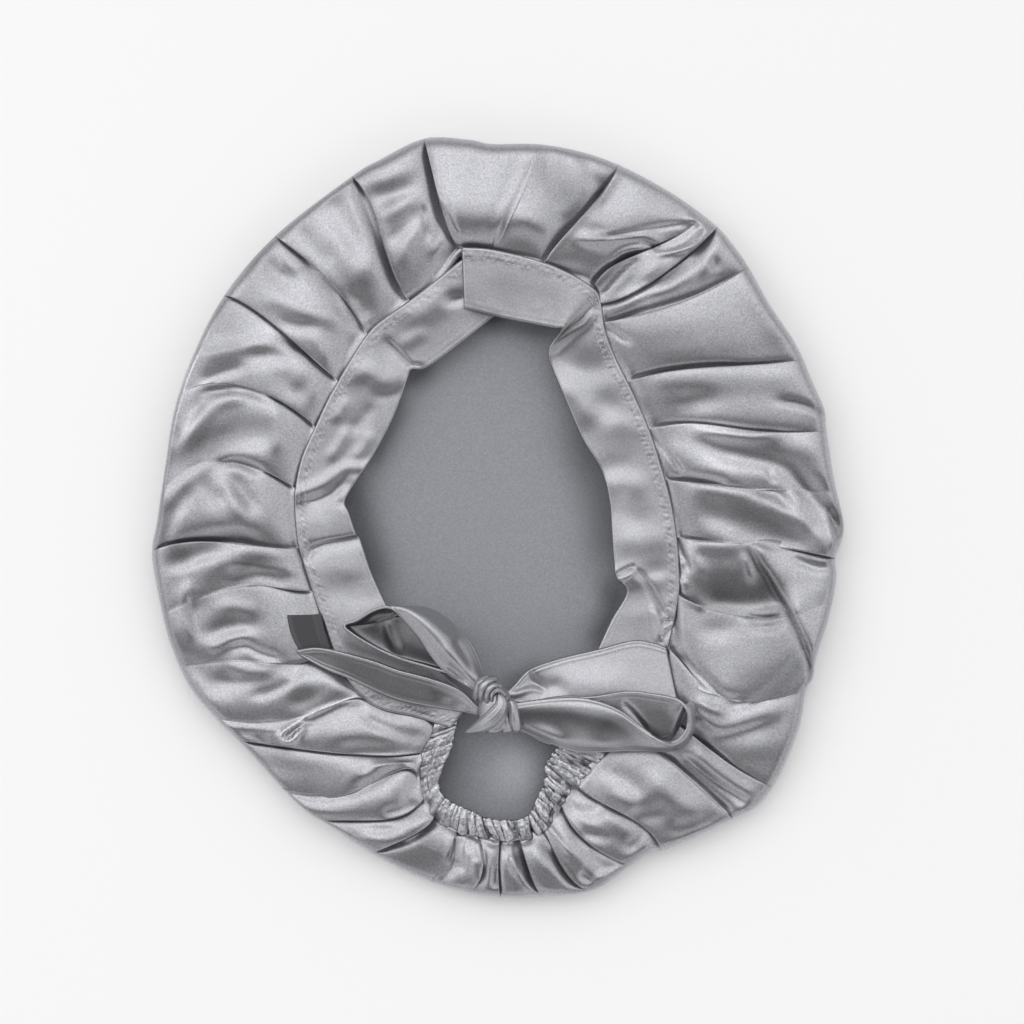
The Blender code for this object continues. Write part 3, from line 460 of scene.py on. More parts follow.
# %% Strokes high on the left
TEMPLE_STROKES = {
    "side_8 side_7": (
        (1.03, (6.9, 3.45), 0.1, -153.5, 4.5, -145.5, 16, -136, 25, -125.5, 30.5, -115.5, 30, -103.5, 24),
        (-1.38, (1.68, 2.1), (0.3, 0.2), -128.5, 25, -121, 25.5, -114.5, 23.5, -108, 20.5),
        (-1.3, (4.14, 10.35), 0.15, -104, 39, -113, 36, -122.5, 33.5, -131.5, 30, -139.5, 25, -146, 19.5),
    ),
    "side_8": (
        (1.09, 3.91, 0.2, -115.5, 56.5, -124.5, 55, -132.5, 50, -138.5, 42.5, -144, 33.5),
        (-0.91, (2.99, 4.6), 0.2, -135, 56, -140, 49.5, -144.5, 41, -149, 33.5),
        (0.78, 3.45, 0.2, -103, 51, -101, 41, -101.5, 30.5),
        (-1.39, (1.68, 2.52), (0.2, 0.25), -137.5, 57.5, -129.5, 58.5, -120, 59, -112.5, 57.5, -103.5, 53),
    ),
    "side_9": (
        (0.95, 3.45, 0.2, -136.5, 74, -127, 76.5, -115.5, 79, -102.5, 81.5),
        (-0.97, (3.45, 4.6), 0.3, -115.5, 74, -107, 74.5, -96.5, 73.5),
        (-1.07, 2.76, (0.2, 0.3), -100.5, 83, -95, 81, -90.5, 77),
        (-1.12, (2.3, 3.45), (0.3, 0.2), -115.5, 69.5, -125.5, 67, -136.5, 63),
        (-0.86, 4.6, 0.2, -99, 67, -96, 59.5, -88.5, 57.5),
        (0.9, 4.6, 0.2, -92, 70.5, -83.5, 64, -83, 53),
    ),
    "temple_left_1": (
        (-1.07, 4.6, (0.2, 0.3), -107, 119, -101.5, 113, -94, 108),
        (0.87, 3.45, 0.2, -98.5, 122, -96, 117, -90, 114.5),
        (1.02, 4.6, 0.2, -109.5, 102.5, -99, 99, -89.5, 95, -79, 92.5, -69, 92),
        (-0.75, 3.45, 0.2, -99, 90, -92, 88.5, -83.5, 87.5),
        (1.02, 4.6, 0.2, -86.5, 85.5, -82, 79, -78, 71.5),
        (-0.93, 3.91, 0.2, -68, 84, -70.5, 78, -72.5, 70.5),
        (-1.36, (2.07, 4.14), (0.2, 0.15), -91.5, 119, -83.5, 112, -76.5, 104.5, -71.5, 96.5, -64, 87.5),
    ),
    "temple_left_2": (
        (-0.96, 4.6, 0.2, -68, 103, -63, 99, -61.5, 93),
        (1.5, (8.05, 6.9), 0.2, -78, 133, -68, 121, -58.5, 109),
        (-1.15, (4.6, 5.75), 0.2, -77, 148, -70.5, 136, -65, 125.5, -62.5, 118),
        (0.99, (3.45, 8.05), (0.1, 0.2), -69, 155.5, -64, 141, -58.5, 125.5, -51, 109),
        (-1.38, (2.07, 3.91), 0.1, -64.5, 150.5, -60.5, 142.5, -56, 131, -52.5, 121, -47.5, 109.5, -43, 103),
        (-0.82, 4.6, 0.2, -92, 133, -84.5, 125.5, -78, 116),
    ),
    "temple_left_3": (
        (1.19, (8.05, 4.6), 0.1, -59.5, 154.5, -49.5, 157.5, -38.5, 162.5),
        (-0.9, (4.6, 3.45), 0.2, -56.5, 147, -49.5, 148.5, -40, 151.5),
        (0.93, (3.91, 3.45), 0.2, -52, 138.5, -46.5, 142, -39, 146.5),
        (-0.99, (4.6, 3.45), (0.2, 0.25), -49.5, 127.5, -44.5, 131, -39, 136.5, -36.5, 142.5),
        (0.88, 3.91, 0.2, -44.5, 117, -41, 126.5, -37, 136),
        (-1.16, (1.26, 1.68), (0.2, 0.3), -34.5, 144, -33, 136.5, -32, 126.5),
        (0.8, 2.99, 0.2, -29, 122, -26, 126, -23, 130),
        (-1.05, (6.9, 3.45), 0.2, -28, 106, -23, 113, -17.5, 119),
        (-1.32, (2.3, 3.91), (0.1, 0.2), -32, 170, -30, 162, -28.5, 152.5, -26, 143, -22.5, 133),
    ),
}
STROKES = {**FRONT_STROKES, **RIGHT_STROKES, **NAPE_STROKES, **LEFT_STROKES, **TEMPLE_STROKES}
print("strokes in all:", sum(len(rows) for rows in STROKES.values()))

# %% [markdown]
# In section the wall rises a little from the seam, falls towards the rim and turns under in a tight roll.
# At a pleat the cloth doubles back under itself, so its section is a flat letter S. A height map can't hold
# an undercut. Columns of points can: the ones at a pleat first run on under the upper layer, then turn
# back.

# %% The wall's section and columns
SEAM_Z = 13.0           # height of the seam above the floor
TUCK = 3.2              # how far a layer runs on under the one that laps it
LAP = (
    # across the pleat in mm (below 0 is the lower panel's side), share of the lap's height
    (-0.5, 0.00), (1.2, 0.00), (TUCK, 0.12), (TUCK + 0.3, 0.35), (TUCK - 0.4, 0.52), (0.8, 0.58),
    (-0.15, 0.66), (-0.32, 0.82), (-0.05, 0.97), (0.55, 1.00),
)
LAP_GAP = 0.1           # mm between the columns of a closed lap
COLUMN_STEP = 1.5       # spacing of the columns along the outline
PLEAT_ROOM = 4.0        # mm added to a panel's width for its puff
PLEAT_MARGIN = 1.2      # mm that a panel's first column keeps from its pleat


def wall_columns():
    """(position among the pleats, pleat number or -1, lap row or -1) for each column, clockwise."""
    columns = []
    for i, fold in enumerate(FOLDS):
        columns += [(float(i), i, k) for k in range(len(LAP))]
        width = math.dist(fold[3], FOLDS[(i + 1) % count][3]) + PLEAT_ROOM
        number = max(4, round(width / COLUMN_STEP))
        margin = 1.0 / (width / PLEAT_MARGIN)
        columns += [(i + share, -1, -1) for share in np.linspace(margin, 1.0 - margin, number)]
    return columns


place_of, lap_fold, lap_row = (np.array(values) for values in zip(*wall_columns()))
panel_of = np.floor(place_of).astype(int) % count
share_of = (place_of - np.floor(place_of))[:, None]
print("columns:", len(place_of))

# %% [markdown]
# Gathered cloth fans out: the pleats are closer together at the seam than at the rim. Each pleat has four
# points in plan, one on the seam, two on the way and one on the rim. A cubic through them is its line, and
# the columns between two pleats are blended from their lines, so the whole wall bends with its gathers.

# %% Where the columns stand


def fold_positions(curve, which):
    """How far along a closed curve each pleat starts, always rising."""
    total = lengths_along(curve)[-1]
    found = [nearest_length(curve, fold[which]) for fold in FOLDS]
    for i in range(1, count):
        while found[i] < found[i - 1] - 0.25 * total:
            found[i] += total
    return np.array(found + [found[0] + total])


seam_stops = fold_positions(seam_curve, 1)
rim_stops = fold_positions(outline_curve, 4)


def through_four(points, t):
    """The cubic through four points at t = 0, 1/3, 2/3 and 1. Each point may be an array of points."""
    a, b, c, d = points
    p, q = 1.0 / 3.0, 2.0 / 3.0
    t = np.asarray(t)[..., None]
    return (
        4.5 * (p - t) * (q - t) * (1 - t) * a + 13.5 * t * (q - t) * (1 - t) * b
        + 13.5 * t * (t - p) * (1 - t) * c + 4.5 * t * (t - p) * (t - q) * d
    )


def across_folds(values, place):
    """Smooth values between the pleats, round the closed wall."""
    values = np.array(values, float)
    i = np.floor(place).astype(int) % count
    t = (place - np.floor(place)).reshape((-1,) + (1,) * (values.ndim - 1))
    return blend_four(*(values[(i + k) % count] for k in (-1, 0, 1, 2)), t)


def wall_plan(place, t):
    """Plan position for arrays of places and t. The result has a row for each place, a column for each t."""
    seam = walk(seam_curve, np.interp(place, range(count + 1), seam_stops), closed=True)
    rim = walk(outline_curve, np.interp(place, range(count + 1), rim_stops), closed=True)
    inner = across_folds([fold[2] for fold in FOLDS], place)
    outer = across_folds([fold[3] for fold in FOLDS], place)
    four = [points[:, None, :] for points in (seam, inner, outer, rim)]
    return through_four(four, np.broadcast_to(t, (len(place), len(t))))


def lap_heights(t):
    """Height of the lap of each pleat at each t: above 0 the next panel lies on top.

    A pleat whose two laps differ a little in sign closes before the rim; one that differs a lot turns over.
    """
    start = np.array([fold[5] for fold in FOLDS])[:, None]
    end = np.array([fold[6] for fold in FOLDS])[:, None]
    lap = start + (end - start) * t
    closes = (start * end < 0.0) & (np.abs(end) < 2.0)
    lap = np.where(closes & (lap * start < 0.0), 0.0, lap)
    return lap * smoothstep(0.0, 0.06, t) * (1.0 - 0.35 * smoothstep(0.85, 1.0, t))


print("mm from pleat to pleat at the rim:", np.diff(rim_stops).round(1).tolist())

# %% [markdown]
# A stroke is a row of round dabs. Their soft sum is nearly level along the line, so that close dabs don't
# pile up, and its reach differs from side to side, which makes a fold steep on one side and gentle on the
# other.

# %% How a stroke presses the cloth
DAB = 1.0               # spacing of the dabs that make up a stroke
FAR = 2.6               # a stroke ends where its dabs are this many reaches away


def stroke_shape(x, y, points, reach, taper):
    """How much of a stroke each point gets: 1 on its line, less to each side, soft at both ends."""
    (left, right), (start, end) = np.broadcast_to(reach, 2), np.broadcast_to(taper, 2)
    curve = smooth_curve(points, per_span=5)
    length = lengths_along(curve)[-1]
    stops = np.linspace(0.0, length, max(6, round(length / DAB)))
    dabs = walk(curve, stops)
    ahead = np.gradient(dabs, axis=0)
    ahead /= np.linalg.norm(ahead, axis=1, keepdims=True)
    share = stops / length
    weight = (smoothstep(0.0, start, share + 0.02) if start else 1.0) * np.ones_like(share)
    weight *= smoothstep(0.0, end, 1.02 - share) if end else 1.0
    ex, ey = x[:, None] - dabs[:, 0], y[:, None] - dabs[:, 1]
    far = ex * ex + ey * ey
    side = (ahead[:, 0] * ey - ahead[:, 1] * ex) / np.sqrt(far + 0.1 * min(left, right) ** 2)
    wide = right + (left - right) * (0.5 + 0.5 * side)
    total = np.sum((weight * np.exp(-far / (wide * wide))) ** 4, axis=1)
    gap = stops[1] - stops[0]
    return (total / max(1.0, math.sqrt(math.pi / 4.0) * 0.5 * (left + right) / gap)) ** 0.25


def stroke_heights(x, y, strokes):
    """What the strokes add at each point."""
    total = np.zeros_like(x)
    for height, reach, taper, *numbers in strokes:
        points = np.reshape(numbers, (-1, 2))
        low, high = points.min(axis=0) - FAR * np.max(reach), points.max(axis=0) + FAR * np.max(reach)
        near = (x > low[0]) & (x < high[0]) & (y > low[1]) & (y < high[1])
        if near.any():
            total[near] += height * stroke_shape(x[near], y[near], points, reach, taper)
    return total


def pressed_folds(x, y, panel):
    """What the wall's strokes add at each point, by its place and by the panel that it belongs to."""
    total = np.zeros_like(x)
    for panels, strokes in STROKES.items():
        numbers = [FOLD_NAMES.index(name) for name in panels.split()]
        here = np.isin(panel, numbers) if numbers else np.ones(x.shape, bool)
        total[here] += stroke_heights(x[here], y[here], strokes)
    return total


one_ridge = ((1.0, 4.0, 0.2, 0, 0, 30, 0),)
print("height on a ridge of 1 mm:", stroke_heights(np.array([15.0]), np.array([0.0]), one_ridge).round(2))

# %% [markdown]
# Each panel of the wall puffs up a little between its pleats and tilts from the lap that it starts under to
# the lap that it ends over. Beside the edge of an upper layer the lower one is pressed into a groove. Last
# come low random waves, drawn out from the seam to the rim like the gathers.

# %% Puff, roll, grooves and waves
RIM_Z = 7.5             # height of the outermost line
DROOP = 2.0             # fall of the wall from its middle to the rim
ROLL = 8.0              # width of the round roll at the rim
GROOVE_REACH = 2.0
PLEAT_MM = 28.0         # mean mm from pleat to pleat, to give random waves a size along the wall
WALL_MM = 75.0          # mean mm from seam to rim
NAPE = (3.0, -128.0)    # where the elastic draws the wall together


def panel_heights(place, t):
    """Height of the wall between two pleats, with its tilt from lap to lap and its belly."""
    i = np.floor(place).astype(int) % count
    share = (place - np.floor(place))[:, None]
    laps = lap_heights(t)
    puff = across_folds([fold[7] for fold in FOLDS], place)[:, None]
    belly = np.array([fold[8] for fold in FOLDS])[i][:, None]
    start, end = 0.5 * laps[i], -0.5 * laps[(i + 1) % count]
    ease = 0.6 * smoothstep(0.0, 1.0, share) + 0.4 * share
    height = SEAM_Z + puff * np.sin(math.pi * np.clip(t / 0.92, 0.0, 0.5))
    height = height - DROOP * np.clip(t - 0.5, 0.0, 1.0) * 2.0
    height = height + start + (end - start) * ease
    return height + belly * np.sin(math.pi * share) * smoothstep(0.0, 0.2, t)


def along_rim(seed, cell):
    """Random values that change slowly from column to column, -1 to 1."""
    return uneven(place_of * PLEAT_MM, 0.0 * place_of, seed, cell, 1.0)[:, None]


def rolled(height, plan):
    """Turns the wall's outer edge down in a round roll."""
    far = np.linalg.norm(plan[:, -1:] - plan, axis=2)
    width = ROLL * (1.0 + 0.45 * along_rim(10, 34.0))
    share = np.clip(1.0 - far / width, 0.0, 1.0)
    return RIM_Z + (height - RIM_Z) * np.sqrt(1.0 - share**4.0)


def grooves(laps, t):
    """1 beside the edge of each layer on top, falling to 0 along the panel that lies under it."""
    starts = wall_plan(np.arange(count, dtype=float), t)
    width = np.linalg.norm(np.roll(starts, -1, axis=0) - starts, axis=2)[panel_of]
    lap, next_lap = laps[panel_of], laps[(panel_of + 1) % count]
    from_upper = (1.0 - share_of) * width / GROOVE_REACH
    lower_end = smoothstep(0.2, 1.6, next_lap) * np.exp(-(from_upper**2))
    lower_start = smoothstep(0.2, 1.6, -lap) * np.exp(-((share_of * width / GROOVE_REACH) ** 2))
    shares = np.array([row[1] for row in LAP])[np.clip(lap_row, 0, None)][:, None]
    below = np.where(lap >= 0.0, 1.0 - shares, shares)
    in_lap = smoothstep(0.2, 1.6, np.abs(lap)) * smoothstep(0.3, 0.9, below)
    return np.where((lap_fold >= 0)[:, None], in_lap, lower_end + lower_start)


def small_waves(plan, t):
    """Low unevenness of the cloth, drawn out from the seam to the rim like the gathers."""
    x, y = plan[..., 0], plan[..., 1]
    round_the_wall = np.broadcast_to(place_of[:, None] * PLEAT_MM, x.shape)
    outward = np.broadcast_to(t * WALL_MM, x.shape)
    fine = 0.2 * uneven(round_the_wall, outward, 5, 7.0, 30.0) + 0.22 * uneven(x, y, 6, 21.0, 21.0)
    drawn = np.exp(-((np.hypot(x - NAPE[0], y - NAPE[1]) / 52.0) ** 4)) * (1.0 - 0.5 * t)
    fine = fine + 0.5 * drawn * uneven(round_the_wall, outward, 8, 6.0, 26.0)
    return (fine + 0.35 * uneven(x, y, 7, 38.0, 38.0)) * smoothstep(0.0, 0.15, t)


middle = panel_heights(place_of, np.array([0.5]))
print("wall half way out, mm:", middle.min().round(1), "to", middle.max().round(1))

# %% [markdown]
# The outer skin of the wall is one grid: each column runs from the seam to the rim, and a lap is a bundle
# of columns that are moved across the pleat. A cloth simulation could gather the wall, but it would fold
# where it likes. Adding up the puff, the laps, the grooves, the pressed folds and the small waves puts each
# fold where this one has it.

# %% The outer skin of the wall
ROWS = np.concatenate([np.linspace(0.0, 0.92, 56), 1.0 - 0.08 * (1.0 - np.linspace(0.0, 1.0, 13)[1:]) ** 1.6])
GROOVE = 0.8            # dip of the lower layer beside the edge that laps it
NEAR_BY = 0.02          # share of a panel over which the direction across the pleats is measured


def lap_shape(laps, t):
    """How far across its pleat each column stands, its share of the step in height, and the lap's size."""
    offsets, shares = np.array(LAP).T
    row = np.clip(lap_row, 0, None)
    lap = laps[np.clip(lap_fold, 0, None)]
    size = smoothstep(0.0, 1.0, np.abs(lap)) * (0.25 + 0.75 * smoothstep(0.0, 0.25, t))
    # For a lap the other way round, the same rows are walked backwards and mirrored.
    forward, backward = offsets[row][:, None], -offsets[::-1][row][:, None]
    offset = np.where(lap >= 0.0, forward, backward) * size
    share = np.where(lap >= 0.0, shares[row][:, None], 1.0 - shares[::-1][row][:, None])
    return offset, share, size


def wall_points(t):
    """The outer skin as columns by rows by xyz, and the plan of the same columns where laps are closed."""
    plan, laps = wall_plan(place_of, t), lap_heights(t)
    across = wall_plan((place_of + NEAR_BY) % count, t) - wall_plan((place_of - NEAR_BY) % count, t)
    across /= np.linalg.norm(across, axis=2, keepdims=True)
    is_lap = (lap_fold >= 0)[:, None]
    offset, share, size = lap_shape(laps, t)
    heights = panel_heights(place_of, t)
    before = panel_heights((place_of - 1e-6) % count, t)
    heights = np.where(is_lap, before + (heights - before) * share, heights) - GROOVE * grooves(laps, t)
    # Where a lap is closed, and under the rim, its columns stand side by side.
    gap = np.where(is_lap, (lap_row[:, None] - 0.5 * (len(LAP) - 1)) * LAP_GAP, 0.0)
    beside = plan + gap[..., None] * across
    plan = plan + np.where(is_lap, offset + gap * (1.0 - size), 0.0)[..., None] * across
    panel = np.where(is_lap & (share < 0.5), (panel_of - 1)[:, None] % count, panel_of[:, None])
    heights = heights + pressed_folds(plan[..., 0], plan[..., 1], panel) * smoothstep(0.0, 0.05, t)
    heights = heights + small_waves(plan, t)
    return np.concatenate([plan, rolled(heights, plan)[..., None]], axis=2), beside


wall, beside = wall_points(ROWS)
print("wall:", wall.shape, "up to mm", wall[..., 2].max().round(1))

# %% [markdown]
# Points become an object with faces between neighbouring columns and rows. Each point also takes a place
# on the flat cloth, its uv, and a shade: a number that the material takes off its colour, because little
# light finds its way into the deepest folds.

# %% From points to objects


def grid_faces(columns, rows, closed, first=0):
    """Faces of a grid whose points are numbered column by column."""
    faces = []
    for i in range(columns if closed else columns - 1):
        a, b = first + i * rows, first + (i + 1) % columns * rows
        faces += [(a + k, a + k + 1, b + k + 1, b + k) for k in range(rows - 1)]
    return faces


def add_mesh(name, points, faces, uv=None, shade=None, edges=()):
    """An object whose place is in its mesh, from points in millimetres, with a uv and a shade for each."""
    mesh = bpy.data.meshes.new(name)
    mesh.from_pydata((np.array(points, float) * MM).tolist(), edges, faces)
    if uv is not None:
        layer = mesh.uv_layers.new(name="cloth")
        corners = np.empty(len(mesh.loops), np.int32)
        mesh.loops.foreach_get("vertex_index", corners)
        layer.data.foreach_set("uv", np.array(uv, np.float32)[corners].ravel())
    if shade is not None:
        mesh.attributes.new("shade", "FLOAT", "POINT").data.foreach_set("value", np.array(shade, np.float32))
    mesh.update()
    mesh.shade_smooth()
    obj = bpy.data.objects.new(name, mesh)
    bpy.context.scene.collection.objects.link(obj)
    return obj


def face_outwards(obj, recalculate=False):
    """Turns a closed mesh's faces outwards, if asked after making them all face the same way."""
    work = bmesh.new()
    work.from_mesh(obj.data)
    if recalculate:
        bmesh.ops.recalc_face_normals(work, faces=work.faces)
    if work.calc_volume(signed=True) < 0.0:
        bmesh.ops.reverse_faces(work, faces=work.faces)
    work.to_mesh(obj.data)
    work.free()


print("faces of a 3 by 3 grid:", len(grid_faces(3, 3, False)))

# %% [markdown]
# Under the rim the cloth rolls in and lies flat on the table: that is the crown panel. Inside, the bonnet
# has a lining, which follows the wall from below, and the inner side of the panel, which is seen through
# the mouth. A solidify modifier would make a lining with every fold of the outside. The real one is calmer,
# so it takes only the wall's lowest points near by.

# %% The roll under the rim, the lining and the panel
UNDER = 8.0             # width of the roll under the rim
CLOTH = 0.8             # thickness of the sewn cloth and lining
WALL_CLOTH = 1.2        # how far the lining stays inside the rim
HEM = 3.0               # how far the cloth is turned in behind the seam
PANEL_Z = 1.3           # top of the panel inside the pouch
LINING_REACH = 6        # columns on each side that the lining keeps clear of
LINING_ROWS = np.array((0.0, 0.12, 0.3, 0.5, 0.7, 0.86, 0.95, 1.0))
PANEL_RINGS = 34


def ring_points(plan, height):
    """Adds one height, or one for each row, to plan positions."""
    return np.concatenate([plan, np.broadcast_to(height, plan.shape[:-1])[..., None]], axis=-1)


def panel_waves(x, y):
    """The crown panel seen through the mouth is nearly flat, with low swells."""
    calm = 1.0 - smoothstep(110.0, 150.0, np.hypot(x, y))
    return (0.45 * uneven(x, y, 11, 55.0, 70.0) + 0.12 * uneven(x, y, 12, 24.0, 30.0)) * calm


def lining_heights(wall):
    """Height of the lining at its few rows: below the lowest point of the wall near by, above the rim."""
    at = [np.argmin(np.abs(ROWS - one)) for one in LINING_ROWS]
    spans = [(at[max(k - 1, 0)], at[min(k + 1, len(at) - 1)] + 1) for k in range(len(at))]
    height = np.stack([wall[:, first:last, 2].min(axis=1) for first, last in spans], axis=1)
    around = [np.roll(height, k, axis=0) for k in range(-LINING_REACH, LINING_REACH + 1)]
    return np.maximum(np.minimum.reduce(around) - CLOTH, RIM_Z)


def crown_points(wall, beside):
    """The outer skin from the cloth's edge to the middle of the panel, and the lining, as grids of points."""
    plan = wall_plan(place_of, LINING_ROWS)
    seam, rim = plan[:, :1], beside[:, -1:]
    inward = (seam - rim) / np.linalg.norm(seam - rim, axis=2, keepdims=True)
    turn = np.radians(np.linspace(0.0, 90.0, 7)[1:])
    across, drop = (1.0 - np.cos(turn))[None, :, None], 1.0 - np.sin(turn)
    under = ring_points(rim + inward * UNDER * across, RIM_Z * drop)
    edge = ring_points(seam + inward * HEM, SEAM_Z - 0.1)
    shares = np.array((0.3, 0.7))[None, :, None]
    floor = ring_points(under[:, -1:, :2] * (1.0 - shares), 0.0)
    outer = np.concatenate([edge, wall, under, floor], axis=1)

    moved_in = plan + inward * WALL_CLOTH * smoothstep(0.8, 1.0, LINING_ROWS)[None, :, None]
    lining = ring_points(moved_in, lining_heights(wall))
    below = rim + inward * (WALL_CLOTH + (UNDER - WALL_CLOTH) * across)
    below = ring_points(below, PANEL_Z + (RIM_Z - PANEL_Z) * drop)
    shares = np.linspace(0.0, 1.0, PANEL_RINGS + 1)[1:-1]
    panel = ring_points(below[:, -1:, :2] * (1.0 - shares[None, :, None]), PANEL_Z)
    panel[..., 2] += panel_waves(panel[..., 0], panel[..., 1])
    turned_in = ring_points(seam + inward * HEM, SEAM_Z - 0.1 - CLOTH)
    return outer, np.concatenate([turned_in, lining, below, panel], axis=1)


outer, inner = crown_points(wall, beside)
print("outer skin:", outer.shape, "lining:", inner.shape)

# %% [markdown]
# Where two surfaces are close together, light that bounces between them is lost or gained. A render finds
# most of it, but not what the fine gathers swallow. So shades are painted with the same strokes as the
# folds. Above 0 they darken, below 0 they stand for light thrown back by a neighbouring fold.

